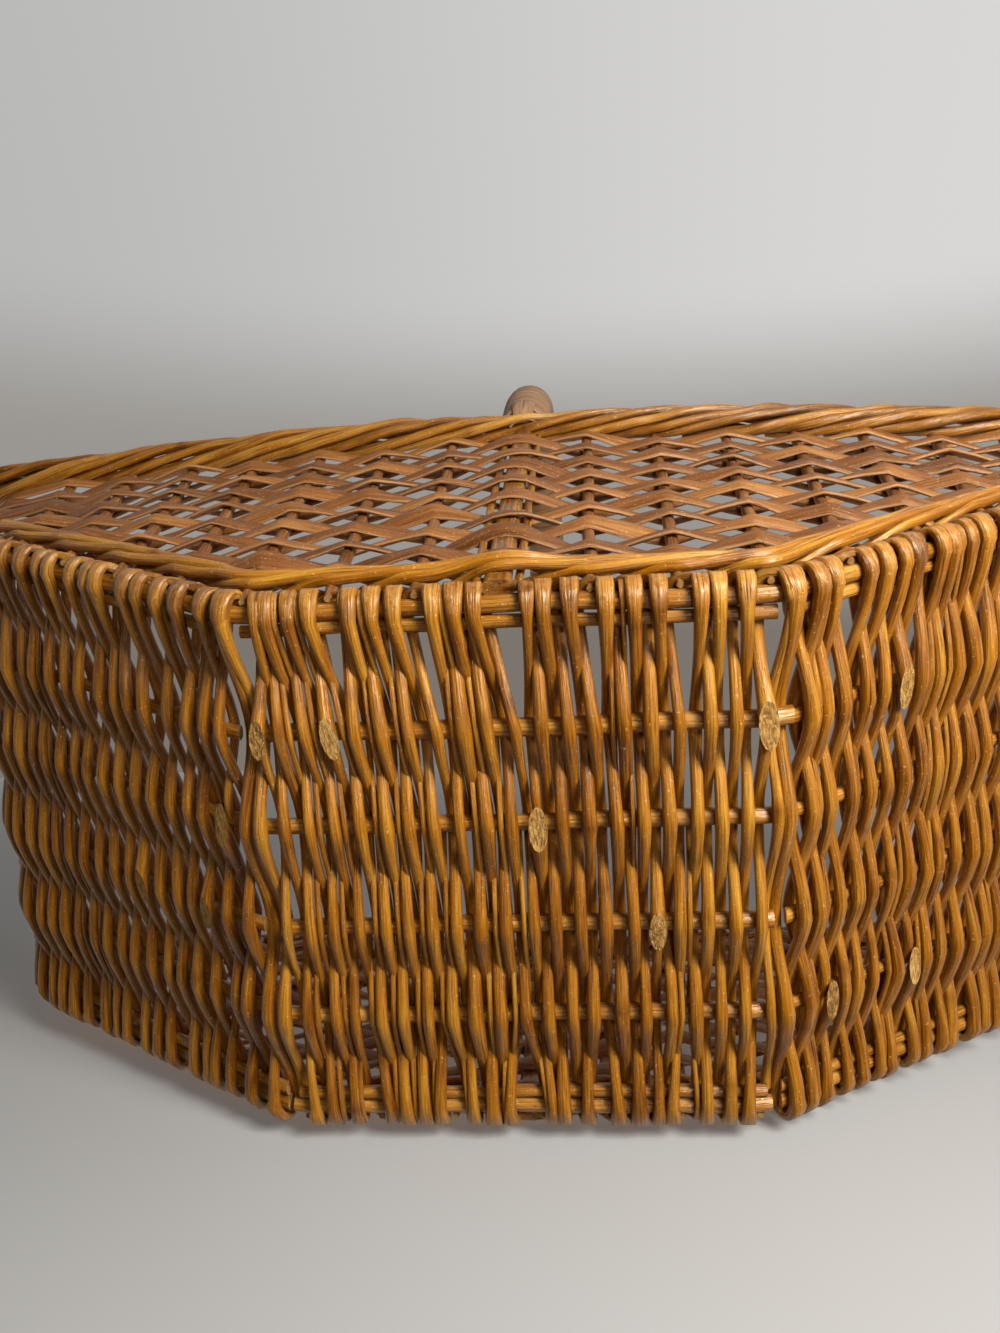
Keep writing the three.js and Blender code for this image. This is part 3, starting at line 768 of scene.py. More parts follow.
class Palette:
    """Every finish of the basket, as materials."""

    def __init__(self) -> None:
        """Builds the materials."""
        # Varnished buff willow: boiled, peeled and lacquered, honey to brown, glossy with fine fibres
        self.rod = WoodFinish("varnished_buff_willow", "#693604", "#a2660d", "#c08d2d", "#ecce94",
                              0.38, 0.38, tone_share=0.35, flank_shade=0.35, fleck_share=0.5).material()
        # Rim willow: the same rods, handled more, so browner and a little duller
        self.rim = WoodFinish("handled_buff_willow", "#643a0c", "#965f16", "#ba8a3a", "#d8b47c",
                              0.42, 0.35, tone_share=0.4, flank_shade=0.7).material()
        # Thick varnished willow sticks: straight, drier than the weavers, with longer fibres
        self.stick = WoodFinish("varnished_willow_sticks", "#603407", "#965f15", "#bf8c3e", "#e0ba80",
                                0.36, 0.45, flank_shade=0.35, streak_length=26.0).material()
        # Stake willow: thin rods that took little varnish, dull reddish brown
        self.stake = WoodFinish("dull_willow_stakes", "#532c10", "#7c4c24", "#9c7044", "#b99064",
                                0.5, 0.2, streak_length=26.0).material()
        # Split willow skein: a planed, porous inner face that took little varnish, reddish to golden and
        # matt, with pale edges that are partly worn and partly a painted highlight
        self.split = WoodFinish("split_willow_skein", "#5c310e", "#804c22", "#a36e34", "#c4966a",
                                0.5, 0.12, streak_length=28.0, patch_length=55.0, relief=0.3, tone_share=0.4,
                                edge_wear_and_sheen=0.5).material()
        # Bare chair cane: smooth pale grey tan with a few brown marks
        self.cane = WoodFinish("bare_chair_cane", "#6d4e32", "#8c6849", "#a17e60", "#b69b82",
                               0.55, 0.03, streak_length=34.0, relief=0.12, fleck_share=0.2).material()
        # Old cut willow: end grain, tan under brown dirt
        self.cut = WoodFinish("cut_willow_end_grain", "#68441a", "#a87a3c", "#cca05c", "#e0bf88",
                              0.75, 0.0, patch_length=2.0, pit=1.3, relief=0.4, tone_share=0.1).material()


@dataclass
class Workshop:
    """What every sub-assembly is made with: the form, the sweep and the finishes."""

    form: BasketForm
    sweep: RodSweep
    palette: Palette

    def make(self, name: str, strands: Sequence[Strand], section: Section, bark: bpy.types.Material,
             slot: str, nodes: Sequence[str], cut: bpy.types.Material | None = None) -> None:
        """Makes a piece and fixes it to the frame.

        Args:
            name: The piece's name.
            strands: Its strands.
            section: Their cross-section.
            bark: The finish of their skin.
            slot: The record's material slot; not used.
            nodes: The solids that the piece stands for.
            cut: The finish of its cut ends, where it isn't the usual one.
        """
        piece = self.sweep.sweep(name, strands, section, bark, cut or self.palette.cut)
        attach(piece, BODY)
        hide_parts(*nodes)
        LOG.info("%s: %d strands, %d faces", name, len(strands), len(piece.data.polygons))


@dataclass
class StripPanel:
    """One panel of the strip: the flat bottom or a sloping end, with its sticks, edge pairs and weavers.

    A room is how far a turn keeps from the middle of a stake or leg, and how far off it starts to give way.
    The shares of a fold say how flat it starts, how far it sinks and how much it widens. A bed is the share
    of its radius at which a rod lies on what it crosses or bends round. A tuck is how far the last points of
    a rod sink, from its tip back.
    """

    shop: Workshop
    name: str
    start: float
    end: float
    seed: int
    butts: Sequence[tuple[float, int]] = ()
    stick_overhang: Sequence[tuple[float, float]] = ((0.0, 0.0),)
    pass_pitch: float = 4.65
    butt_radius: tuple[float, float] = (2.4, 3.3)
    tip_radius: tuple[float, float] = (1.9, 2.6)
    companion_radius: tuple[float, float] = (1.05, 1.6)
    companion_share: float = 0.7
    fold_press: float = 0.58
    squeeze: float = 0.16
    stick_share: float = 1.0
    knot_spacing: float = 95.0
    passes_per_rod: tuple[int, int] = (5, 8)
    span_steps: int = 8
    wrap_steps: int = 8
    stick_end_gap: float = 4.0
    jitter: float = 0.6
    lean: float = 1.2
    drag: float = 0.0
    tones: tuple[float, float] = (0.2, 1.0)
    # Painted light: the sticks' and edge rods' random tones are kept high, so that they look lit between the
    # weavers.
    stick_tones_with_painted_light: tuple[float, float] = (0.55, 1.0)
    LEG_ROOM: ClassVar[tuple[float, float]] = (6.4, 13.0)
    STAKE_ROOM: ClassVar[tuple[float, float]] = (3.8, 9.0)
    STICK_STEP: ClassVar[float] = 9.0
    STICK_SHARES: ClassVar[tuple[float, float]] = (0.96, 1.06)
    FOLD_START: ClassVar[float] = 0.35
    FOLD_SINK: ClassVar[float] = 0.9
    FOLD_SPREAD: ClassVar[float] = 0.45
    TURN_BED: ClassVar[float] = 0.95
    CROSSING_BED: ClassVar[float] = 0.9
    STRAIGHTNESS: ClassVar[float] = 0.3
    TUCK: ClassVar[tuple[float, ...]] = (3.0, 1.6, 0.5)
    TUCK_THINNING: ClassVar[float] = 0.12
    BUTT_RAISE: ClassVar[float] = 1.9
    BUTT_SWELL: ClassVar[tuple[float, float]] = (1.2, 1.08)
    BUTT_SLOPE: ClassVar[float] = 2.7

    def build(self) -> None:
        """Makes the panel's pieces."""
        self._sticks()
        self._edges()
        self._weavers()

    def _stick_span(self, number: int) -> tuple[float, float]:
        """Gives the lengths along the strip between which a stick runs."""
        way = 1 if self.end > self.start else -1
        before, after = self.stick_overhang[number % len(self.stick_overhang)]
        top = self.end if self.name == "base" else self.end - way * 2
        last_gap = self.stick_end_gap if self.name == "base" else self.shop.form.rim_radius - 2
        return self.start + way * (self.stick_end_gap - before), top - way * (last_gap - after)

    def _rod_along(self, number: int, place: float, inset: float, radius: float,
                   rng: random.Random) -> Strand:
        """Lays a rod along the panel.

        Args:
            number: The rod's number, which picks its overhang.
            place: Where it lies across the panel, as a share of the half width.
            inset: How far inside that place it lies.
            radius: Its thickness.
            rng: The source of its irregularities.

        Returns:
            The rod.
        """
        first, last = self._stick_span(number)
        steps = max(8, round(abs(last - first) / self.STICK_STEP))
        sway, swell = Wander(rng, 0.5, 160), Wander(rng, 0.06, 120)
        points, radii = [], []
        for k in range(steps + 1):
            u = lerp(first, last, k / steps)
            at = self.shop.form.strip_at(u)
            y = math.copysign(abs(place) * at.half_width - inset, place) + sway.at(u)
            points.append(at.point(y, 0.4 * sway.at(u + 40)))
            radii.append(radius * (1 + swell.at(u)))
        return Strand(points, radii, rng.uniform(*self.stick_tones_with_painted_light))

    def _sticks(self) -> None:
        """Makes the four inner sticks."""
        form, palette = self.shop.form, self.shop.palette
        for k, place in enumerate(form.stick_places):
            rng = random.Random(self.seed * 100 + k)
            radius = self.stick_share * form.stick_radius * rng.uniform(*self.STICK_SHARES)
            rod = self._rod_along(k, place, 0.0, radius, rng)
            node = f"{self.name}_stick_{k + 1}"
            self.shop.make(f"{node}_rod", [rod], Section.STICK, palette.stick, "willow_stick", [node])

    def _edges(self) -> None:
        """Makes the pairs of edge rods, a thick one outside and a thin one inside."""
        form, palette = self.shop.form, self.shop.palette
        for side, sign in (("front", -1.0), ("back", 1.0)):
            rng = random.Random(self.seed * 100 + 50 + int(sign))
            outer = self._rod_along(4, sign, form.edge_inset, form.stick_radius, rng)
            inner = self._rod_along(5, sign, form.edge_inset + form.partner_offset, form.partner_radius, rng)
            node = f"{self.name}_edge_{side}"
            self.shop.make(f"{node}_rods", [outer, inner], Section.STICK, palette.stick, "willow_stick",
                           [node])

    def _make_room(self, u: float) -> float:
        """Moves a turn at the strip's edge aside, so that it clears the foot of the nearest stake."""
        form = self.shop.form
        nearest = min(form.stake_lengths, key=lambda stake: abs(stake - u))
        is_leg = abs(nearest) < 1e-3
        clear, reach = self.LEG_ROOM if is_leg else self.STAKE_ROOM
        gap = abs(u - nearest)
        if gap >= reach:
            return u
        return nearest + math.copysign(lerp(clear, reach, gap / reach), u - nearest)

    def _rod_plan(self, passes: int, rng: random.Random) -> list[tuple[int, int, bool]]:
        """Chooses where each weaving rod starts.

        Args:
            passes: How many times the weavers cross the panel.
            rng: The source of the choices.

        Returns:
            For each rod, its first pass, the crossing where it starts, and whether its butt lies outside.
        """
        length = abs(self.end - self.start)
        plan = [(0, 0, False)]
        for u, crossing in self.butts:
            number = round((abs(u - self.start)) / length * passes - 0.5)
            number = min(max(number, 1), passes - 2)
            number += (number + crossing) % 2
            plan.append((number, crossing, True))
        number = rng.randint(*self.passes_per_rod)
        while number < passes - 2:
            if min(abs(number - other) for other, _, _ in plan) > 2:
                crossing = rng.choice((2, 4) if number % 2 else (1, 3))
                plan.append((number, crossing, False))
            number += rng.randint(*self.passes_per_rod)
        return sorted(plan)

    def _weavers(self) -> None:
        """Makes the weavers, which go to and fro across the sticks and turn round the outer edge rods."""
        rng = random.Random(self.seed)
        passes = round(abs(self.end - self.start) / self.pass_pitch)
        plan = self._rod_plan(passes, rng)
        strands: list[Strand] = []
        for k, (first, crossing, outside) in enumerate(plan):
            final = (passes - 1, 5 if passes % 2 else 0, False)
            last, last_crossing, covered = plan[k + 1] if k + 1 < len(plan) else final
            begin, finish = (first, crossing, outside), (last, last_crossing)
            butt, tip = rng.uniform(*self.butt_radius), rng.uniform(*self.tip_radius)
            rod = self._weaver(passes, begin, finish, (butt, tip), 0.0, rng)
            if covered:
                self._tuck_end(rod)
            strands.append(rod)
            if rng.random() < self.companion_share and last - first > 2:
                thin = rng.uniform(*self.companion_radius)
                beside = rng.choice((-1, 1)) * (0.6 * (butt + tip) + 0.5 * thin)
                begin, finish = (first + 1, 3 if first % 2 else 2, False), (last - 1, 3 if last % 2 else 2)
                strands.append(self._weaver(passes, begin, finish, (thin, 0.85 * thin), beside, rng))
        palette = self.shop.palette
        node = f"{self.name}_weave"
        self.shop.make(f"{node}_rods", strands, Section.ROD, palette.rod, "willow_rod", [node])

    def _weaver(self, passes: int, begin: tuple[int, int, bool], finish: tuple[int, int],
                thickness: tuple[float, float], beside: float, draws: random.Random) -> Strand:
        """Lays one weaving rod.

        Args:
            passes: How many passes the panel has.
            begin: The rod's first pass, the crossing it starts at, and whether its butt shows outside.
            finish: The pass and the crossing at which it ends.
            thickness: Its radius at the butt and at the tip.
            beside: How far aside it lies, where it runs along a thicker rod.
            draws: The source of its tone and its irregularities.

        Returns:
            The rod.
        """
        form = self.shop.form
        pitch = (self.end - self.start) / passes
        first_pass, first_crossing, outside = begin
        last_pass, last_crossing = finish
        count = max(last_pass - first_pass, 1)
        tone, swell = draws.uniform(*self.tones), Wander(draws, 0.09, 90)
        rod = Strand([], [], tone, [], presses=[], knot_spacing=self.knot_spacing)

        def crossing_places(number: int) -> list[tuple[float, float]]:
            """Gives the length u and the side of a pass at each of its six crossings."""
            draw = random.Random(self.seed * 7919 + number)
            middle = self.start + (number + 0.5) * pitch + draw.uniform(-0.5, 0.5)
            lean = draw.uniform(-self.lean, self.lean)
            dragged = self._drag_at((number + 0.5) / passes)
            places = []
            for k in range(6):
                u = middle + lean * (k / 2.5 - 1) + draw.uniform(-self.jitter, self.jitter) + beside
                u += dragged * (k / 3.5 - 1) ** 3
                u = self._make_room(u) if k in (0, 5) else u
                places.append((u, 1.0 if (number + k) % 2 == 0 else -1.0))
            return places

        def lay(u: float, y: float, out: float, radius: float, facing: Vector,
                press: Vector = Vector()) -> None:
            """Adds a point of the rod."""
            rod.points.append(form.strip_at(round(u, 2)).point(y, out))
            rod.radii.append(radius * (1 + swell.at(len(rod.points) * 4.0)))
            rod.facing.append(facing)
            rod.presses.append(press)

        def wrap(crossing: int, u: float, next_u: float, side: float, radius: float) -> None:
            """Bends the rod round the outer edge rod, from one side of the strip to the other."""
            edge = 1.0 if crossing == 5 else -1.0
            for step in range(self.wrap_steps + 1):
                share = step / self.wrap_steps
                angle = math.pi * (0.5 - share)
                hidden = (share - 0.5) / 0.5 if side > 0 else share / 0.5
                at_u = lerp(u, next_u, ease(hidden))
                at = form.strip_at(round(at_u, 2))
                flat = self.fold_press * lerp(self.FOLD_START, 1.0, math.cos(angle))
                spoke = Vector((0, edge * math.cos(angle), 0)) + at.out * side * math.sin(angle)
                reach = form.stick_radius + radius * (self.TURN_BED - self.FOLD_SINK * flat)
                y = at.half_width - form.edge_inset + (reach + form.edge_inset) * math.cos(angle)
                lay(at_u, edge * y, side * reach * math.sin(angle),
                    radius * (1 + self.FOLD_SPREAD * flat), spoke * side * turn, spoke * flat)

        turn = 1.0
        for number in range(first_pass, last_pass + 1):
            down = number % 2 == 0
            places = crossing_places(number)
            order = list(range(6)) if down else list(range(5, -1, -1))
            if number == first_pass:
                order = order[order.index(first_crossing):]
            if number == last_pass:
                order = order[:order.index(last_crossing) + 1]
            radius = lerp(*thickness, (number - first_pass) / count)
            lift = self.stick_share * (form.stick_radius + self.CROSSING_BED * radius)
            if number == first_pass and first_crossing == 0:
                u, side = places[0]
                wrap(0, u, u, -side, radius)
                turn = -turn
            for here, there in zip(order, order[1:]):
                (u0, side), (u1, _) = places[here], places[there]
                for step in range(self.span_steps):
                    share = step / self.span_steps
                    u = lerp(u0, u1, share)
                    half = form.strip_at(round(u, 2)).half_width
                    y0, y1 = (self._crossing_y(half, k) for k in (here, there))
                    depth = lerp(math.cos(math.pi * share), 1 - 2 * share, self.STRAIGHTNESS)
                    squeeze = 1 - self.squeeze * math.sin(math.pi * share)
                    lay(u, lerp(y0, y1, share), side * lift * depth, radius * squeeze,
                        form.strip_at(round(u, 2)).out * turn)
            u, side = places[order[-1]]
            at = form.strip_at(round(u, 2))
            lay(u, self._crossing_y(at.half_width, order[-1]), side * lift, radius, at.out * turn)
            if number == last_pass or order[-1] not in (0, 5):
                continue
            wrap(order[-1], u, crossing_places(number + 1)[order[-1]][0], side, radius)
            turn = -turn
        if outside:
            for line in (rod.points, rod.radii, rod.facing, rod.presses):
                del line[1:3]
            out = self._out_at(rod.points[0])
            rod.points[0] = rod.points[0] + out * self.BUTT_RAISE
            rod.start_cut = out * self.BUTT_SLOPE
            for k, swollen in enumerate(self.BUTT_SWELL):
                rod.radii[k] *= swollen
        return rod

    def _tuck_end(self, rod: Strand) -> None:
        """Sinks and thins the end of a rod, which the butt of the next one covers."""
        for back, drop in enumerate(self.TUCK, 1):
            point = rod.points[-back]
            rod.points[-back] = point - self._out_at(point) * drop
            rod.radii[-back] *= 1 - self.TUCK_THINNING * drop

    def _drag_at(self, share: float) -> float:
        """Gives how far a pass is dragged aslant: most near the panel's start, and not at all at its ends."""
        most_at = 0.15
        return self.drag * min(share / most_at, 1.0) * max(0.0, 1 - share)

    def _out_at(self, point: Vector) -> Vector:
        """Gives the direction out of the basket at a point of the panel."""
        form = self.shop.form
        return form.strip_at(math.copysign(form.strip_length_at(abs(point.x)), point.x)).out

    def _crossing_y(self, half_width: float, crossing: int) -> float:
        """Gives where a crossing lies across the strip: the edge pairs are the first and the last."""
        inset = self.shop.form.edge_inset + 0.5 * self.shop.form.partner_offset
        if crossing in (0, 5):
            return math.copysign(half_width - inset, crossing - 2.5)
        return self.shop.form.stick_places[crossing - 1] * half_width


@dataclass
class LongWall:
    """A long wall: stakes, a wale along its foot, and rows of flat split willow."""

    shop: Workshop
    name: str
    side: int
    seed: int
    rows: int = 16
    first_row_height: float = 24.5
    top_gap: float = 11.5
    split_half_width: float = 4.5
    wale_radius: float = 2.25
    wale_rods: int = 4
    wale_height: float = 13.2
    leg_spread: float = 0.9
    row_clearance: float = 9.0
    stake_sink: float = 1.0
    stake_into_rim: float = 3.0
    sway_reach: float = 20.0
    foot_out: float = 2.2
    foot_reach: float = 22.0
    foot_taper: float = 14.0
    foot_share: float = 0.5
    middle_share: float = 1.07
    head_share: float = 0.92
    stake_flat: float = 2.2
    leg_flat: float = 5.5
    flat_share: float = 0.88
    corner_step: float = 9.0

    def build(self) -> None:
        """Makes the wall's pieces."""
        self._stakes()
        self._wale()
        self._splits()

    @property
    def stake_numbers(self) -> range:
        """Numbers of the stakes from left to right, with 0 for the handle's leg."""
        return range(-self.shop.form.stakes_per_half, self.shop.form.stakes_per_half + 1)

    def _stakes(self) -> None:
        """Makes the stakes, whose feet taper between the turns of the strip's weavers."""
        form, palette = self.shop.form, self.shop.palette
        for number in (n for n in self.stake_numbers if n):
            rng = random.Random(self.seed * 100 + number)
            line = form.wall_at(number * form.stake_spacing, self.side)
            low = line.lifted(-self.stake_sink, 0.0)
            high = line.head - line.up * (form.rim_radius - self.stake_into_rim)
            sway = Wander(rng, 0.5, 120)
            length = (high - low).length
            steps = max(6, round(length / 10))
            points, radii = [], []
            for k in range(steps + 1):
                reach = length * k / steps
                off = line.out * self.foot_out * (1 - ease(reach / self.foot_reach))
                aside = LENGTHWISE * sway.at(reach) * ease(reach / self.sway_reach)
                points.append(low + line.up * reach + aside + off)
                foot = lerp(self.foot_share, self.middle_share, ease(reach / self.foot_taper))
                radii.append(form.stake_radius * foot * lerp(1.0, self.head_share, reach / length))
            half = "left" if number < 0 else "right"
            node = f"{self.name}_stake_{half}_{abs(number)}"
            rod = Strand(points, radii, rng.uniform(0.2, 0.7), [line.out] * len(points), knot_spacing=110.0)
            self.shop.make(f"{node}_rod", [rod], Section.STICK, palette.stake, "willow_stick", [node])

    def _wale(self) -> None:
        """Makes the wale: four rods that each pass before three stakes and behind the next."""
        form, palette = self.shop.form, self.shop.palette
        rng = random.Random(self.seed * 31)
        last = form.stakes_per_half
        strands = []
        for rod in range(self.wale_rods):
            sway = Wander(rng, 0.4, 3.0)
            points, facing = [], []
            steps = 10
            for k in range(-last * steps - steps // 2, last * steps + steps // 2 + 1):
                number = k / steps
                out, rise = self._wale_lay(number + rod)
                is_near_leg = ease(1 - abs(number) / self.leg_spread)
                line = form.wall_at(round(number * form.stake_spacing, 3), self.side)
                stake = lerp(form.stake_radius, form.leg_depth, is_near_leg)
                clear = stake + self.wale_radius
                off = out * clear + is_near_leg * form.leg_foot_out
                points.append(line.lifted(self.wale_height + rise + sway.at(number), off))
                facing.append(line.out)
            radius = self.wale_radius * rng.uniform(0.9, 1.06)
            tone = rng.uniform(0.4, 0.9)
            strands.append(Strand(points, [radius] * len(points), tone, facing, knot_spacing=120.0))
        node = f"{self.name}_wale"
        self.shop.make(f"{node}_rods", strands, Section.ROD, palette.rod, "willow_rod", [node])

    @staticmethod
    def _wale_lay(place: float) -> tuple[float, float]:
        """Gives how far out and how high a wale rod lies at a place in its round of four stakes."""
        stops = ((1.0, -3.6), (1.3, 0.0), (1.0, 3.6), (-1.0, 1.0), (1.0, -3.6))
        phase = place % 4
        here = int(phase)
        share = ease(phase - here)
        (out0, rise0), (out1, rise1) = stops[here], stops[here + 1]
        return lerp(out0, out1, share), lerp(rise0, rise1, phase - here)

    def _splits(self) -> None:
        """Makes the rows of split willow, which bend sharply over one stake and under the next."""
        form, palette = self.shop.form, self.shop.palette
        rng = random.Random(self.seed * 17)
        low = form.base_level + self.first_row_height
        high = form.rim_height - self.top_gap
        strands = []
        for row in range(self.rows):
            z = lerp(low, high, row / (self.rows - 1))
            strands.append(self._split(row, z, rng))
        node = f"{self.name}_wall_weave"
        self.shop.make(f"{node}_splits", strands, Section.SPLIT, palette.split, "split_willow", [node])

    def _split(self, row: int, z: float, rng: random.Random) -> Strand:
        """Lays one row.

        Args:
            row: The row's number from the wale up.
            z: Its level.
            rng: The source of its irregularities.

        Returns:
            The split.
        """
        form = self.shop.form
        thickness = self.split_half_width * Section.SPLIT.flatness
        reach = self._row_reach(z)
        waver, roll, swell = Wander(rng, 1.7, 130), Wander(rng, 0.42, 150), Wander(rng, 0.1, 110)
        stops: list[tuple[float, float]] = [(-reach, 0.0)]
        for number in self.stake_numbers:
            x = number * form.stake_spacing
            if abs(x) + 4 > reach:
                continue
            radius = form.stake_radius if number else form.leg_depth
            out = (radius + thickness + 0.2) * (1 if (row + number) % 2 == 0 else -1)
            if not number:
                out += form.leg_foot_out * (form.rim_height - z) / form.rim_height
            flat = self.stake_flat if number else self.leg_flat
            stops += [(x - flat, self.flat_share * out), (x, out), (x + flat, self.flat_share * out)]
        stops.append((reach, 0.0))
        points, facing, radii = [], [], []
        width = self.split_half_width * rng.uniform(0.84, 1.08)
        for (x0, out0), (x1, out1) in zip(stops, stops[1:]):
            steps = 3 if x1 - x0 > 8 else 1
            for step in range(steps):
                share = step / steps
                x = lerp(x0, x1, share)
                line = form.wall_at(round(x, 2), self.side)
                points.append(line.point(z + waver.at(x), lerp(out0, out1, share)))
                facing.append((line.out + line.up * roll.at(x)).normalized())
                radii.append(width * (1 + swell.at(x)))
        rod = Strand(points, radii, rng.random(), facing)
        if reach >= self.row_limit:
            self._tuck_in(rod, z)
        return rod

    def _tuck_in(self, rod: Strand, z: float) -> None:
        """Takes both ends of a row round the corner, to the edges of the end panels.

        Args:
            rod: The row.
            z: Its level.
        """
        form = self.shop.form
        low, high = form.base_length / 2, form.strip_half
        while high - low > 0.5:
            middle = (low + high) / 2
            low, high = (middle, high) if form.strip_at(middle).z < z else (low, middle)
        for way in (-1, 1):
            at = form.strip_at(way * low)
            tip, edge = rod.points[0], Vector((at.x, self.side * (at.half_width - form.edge_inset), z))
            heading = (edge - tip).normalized()
            facing = (rod.facing[0] - heading * rod.facing[0].dot(heading)).normalized()
            steps = max(1, round((edge - tip).length / self.corner_step))
            rod.points[:0] = [edge.lerp(tip, k / steps) for k in range(steps)]
            rod.facing[:0] = [facing] * steps
            rod.radii[:0] = [rod.radii[0]] * steps
            for line in (rod.points, rod.facing, rod.radii):
                line.reverse()

    @property
    def row_limit(self) -> float:
        """How far from the middle a row is woven straight, before it turns the corner."""
        return (self.shop.form.stakes_per_half + 0.9) * self.shop.form.stake_spacing

    def _row_reach(self, z: float) -> float:
        """Gives how far from the middle a row at a level goes before it meets the strip's rising edge."""
        form = self.shop.form
        x = form.base_length / 2
        while x < self.row_limit and form.wall_at(round(x, 1), self.side).lifted(self.row_clearance, 0).z < z:
            x += 1.0
        return x


@dataclass
class RimBorder:
    """The rim: willow rods that roll over one another round the mouth."""

    shop: Workshop
    seed: int = 5
    rods: int = 66
    run: float = 172.0
    ring_radius: float = 5.6
    rod_radius: float = 2.55
    roll_start: float = math.radians(-190)
    roll_end: float = math.radians(150)
    butt_share: float = 1.08
    tip_share: float = 0.85

    def build(self) -> None:
        """Makes the rim."""
        form, palette = self.shop.form, self.shop.palette
        rng = random.Random(self.seed)
        route = form.rim_route
        strands = []
        for number in range(self.rods):
            start = route.length * (number + rng.uniform(-0.25, 0.25)) / self.rods
            sway = Wander(rng, 1.0, 80)
            size = self.rod_radius * rng.uniform(0.86, 1.08)
            steps = round(self.run / 5)
            points, radii, facing = [], [], []
            for k in range(steps + 1):
                share = k / steps
                reach = start + self.run * share
                outward = route.heading(reach).cross(UP)
                angle = lerp(self.roll_start, self.roll_end, share)
                ring = self.ring_radius + sway.at(reach)
                spoke = outward * math.cos(angle) + UP * math.sin(angle)
                points.append(route.point(reach) + spoke * ring)
                radii.append(size * lerp(self.butt_share, self.tip_share, share))
                facing.append(spoke)
            strands.append(Strand(points, radii, rng.uniform(0.2, 0.9), facing, knot_spacing=90.0))
        self.shop.make("rim_border_rods", strands, Section.ROD, palette.rim, "willow_rod", ["rim_border"])


@dataclass
class BowHandle:
    """The handle: a bow whose legs stand in both walls, wrapped with cane above the rim."""

    shop: Workshop
    height: float = 390.0
    leg_above_rim: float = 30.0
    arch_ease: float = 0.6
    wrap_radius: float = 11.6
    turn_pitch: float = 8.3
    band_half_width: float = 5.0
    strip_half_width: float = 3.1
    strip_angles: tuple[float, ...] = (math.radians(77), math.radians(103))
    strip_round: float = 11.0
    strip_over: float = 2.2
    strip_lift: tuple[float, float] = (-1.4, 1.1)
    lean: float = 0.018
    lean_from: float = 100.0
    neck_share: float = 0.7
    neck_reach: float = 7.0
    foot_share: float = 1.04
    top_share: float = 0.97
    foot_reach: float = 16.0
    press_reach: float = 25.0
    point_spacing: float = 8.0
    filler_overlap: float = 4.0
    leg_steps: int = 16
    filler_rods: int = 7
    filler_radius: float = 2.6
    filler_offset: float = 2.2
    leg_rod_places: tuple[float, ...] = (-8.0, 7.5)
    leg_rod_radius: float = 1.55

    @cached_property
    def route(self) -> Route:
        """The bow's middle line, from the foot in the back wall to the foot in the front wall."""
        leg = self.shop.form.wall_at(0.0, 1)
        foot = leg.lifted(2.0, self.shop.form.leg_foot_out)
        arch_start = leg.head + leg.up * self.leg_above_rim
        rise = self.height - arch_start.z
        controls = [arch_start, arch_start + leg.up * self.arch_ease * rise,
                    Vector((0, self.arch_ease * arch_start.y, self.height)), Vector((0, 0, self.height))]
        steps = 40
        half = [foot]
        for k in range(steps + 1):
            t = k / steps
            weights = ((1 - t) ** 3, 3 * t * (1 - t) ** 2, 3 * t ** 2 * (1 - t), t ** 3)
            half.append(sum((c * w for c, w in zip(controls, weights)), Vector()))
        mirrored = [Vector((0, -p.y, p.z)) for p in reversed(half[:-1])]
        return Route([p + LENGTHWISE * self.lean * (p.z - self.lean_from) for p in half + mirrored])

    @cached_property
    def wrap_start(self) -> float:
        """Length of the bow below the wrap, which starts among the rim's rods."""
        leg = self.shop.form.wall_at(0.0, 1)
        return (leg.head - self.route.points[0]).length - 1

    def build(self) -> None:
        """Makes the bow and its wrap."""
        self._bow()
        self._wrap()

    def _girth(self, reach: float) -> float:
        """Gives how much of its full thickness the handle has, which grows out of the rim."""
        above = min(reach, self.route.length - reach) - self.wrap_start
        return lerp(self.neck_share, 1.0, ease(above / self.neck_reach))

    def _spoke(self, reach: float, angle: float) -> Vector:
        """Gives the direction out of the bow at an angle round it, 0 along X and a quarter turn outwards."""
        outward = self.route.heading(reach).cross(LENGTHWISE)
        return LENGTHWISE * math.cos(angle) + outward * math.sin(angle)

    def _bow(self) -> None:
        """Makes the bow's rods: a thick core and thin rods beside the legs."""
        form, palette = self.shop.form, self.shop.palette
        route = self.route
        steps = round(route.length / self.point_spacing)
        reaches = [route.length * k / steps for k in range(steps + 1)]
        points = [route.point(reach) for reach in reaches]
        taper = [min(reach, route.length - reach) for reach in reaches]
        radii = [form.bow_radius * lerp(self.foot_share, self.top_share, ease(t / self.foot_reach))
                 for t in taper]
        presses = []
        for reach, from_foot in zip(reaches, taper):
            wall = form.wall_at(0.0, 1 if reach < route.length / 2 else -1)
            below = ease((self.wrap_start - from_foot) / self.press_reach)
            presses.append(wall.out * (1 - form.leg_depth / form.bow_radius) * below)
        strands = [Strand(points, radii, 0.0, [LENGTHWISE] * len(points), presses=presses)]
        rng = random.Random(77)
        filled = self.wrap_start - self.filler_overlap
        inside = [reach for reach in reaches if filled < reach < route.length - filled]
        ring = form.bow_radius + self.filler_offset
        for k in range(self.filler_rods):
            angle = math.tau * k / self.filler_rods
            lay = [route.point(r) + self._spoke(r, angle) * ring * self._girth(r) for r in inside]
            radii = [self.filler_radius] * len(lay)
            strands.append(Strand(lay, radii, rng.random(), [LENGTHWISE] * len(lay)))
        for x in self.leg_rod_places:
            for end in (0, 1):
                span = [self.wrap_start * k / self.leg_steps for k in range(self.leg_steps + 1)]
                span = [route.length - s for s in span] if end else span
                lay = [route.point(s) + LENGTHWISE * x * rng.uniform(0.95, 1.05) for s in span]
                radii = [self.leg_rod_radius] * len(lay)
                strands.append(Strand(lay, radii, rng.uniform(0.5, 0.9), [LENGTHWISE] * len(lay)))
        self.shop.make("handle_bow_rods", strands, Section.STICK, palette.stick, "willow_stick",
                       ["handle_bow"], palette.stick)

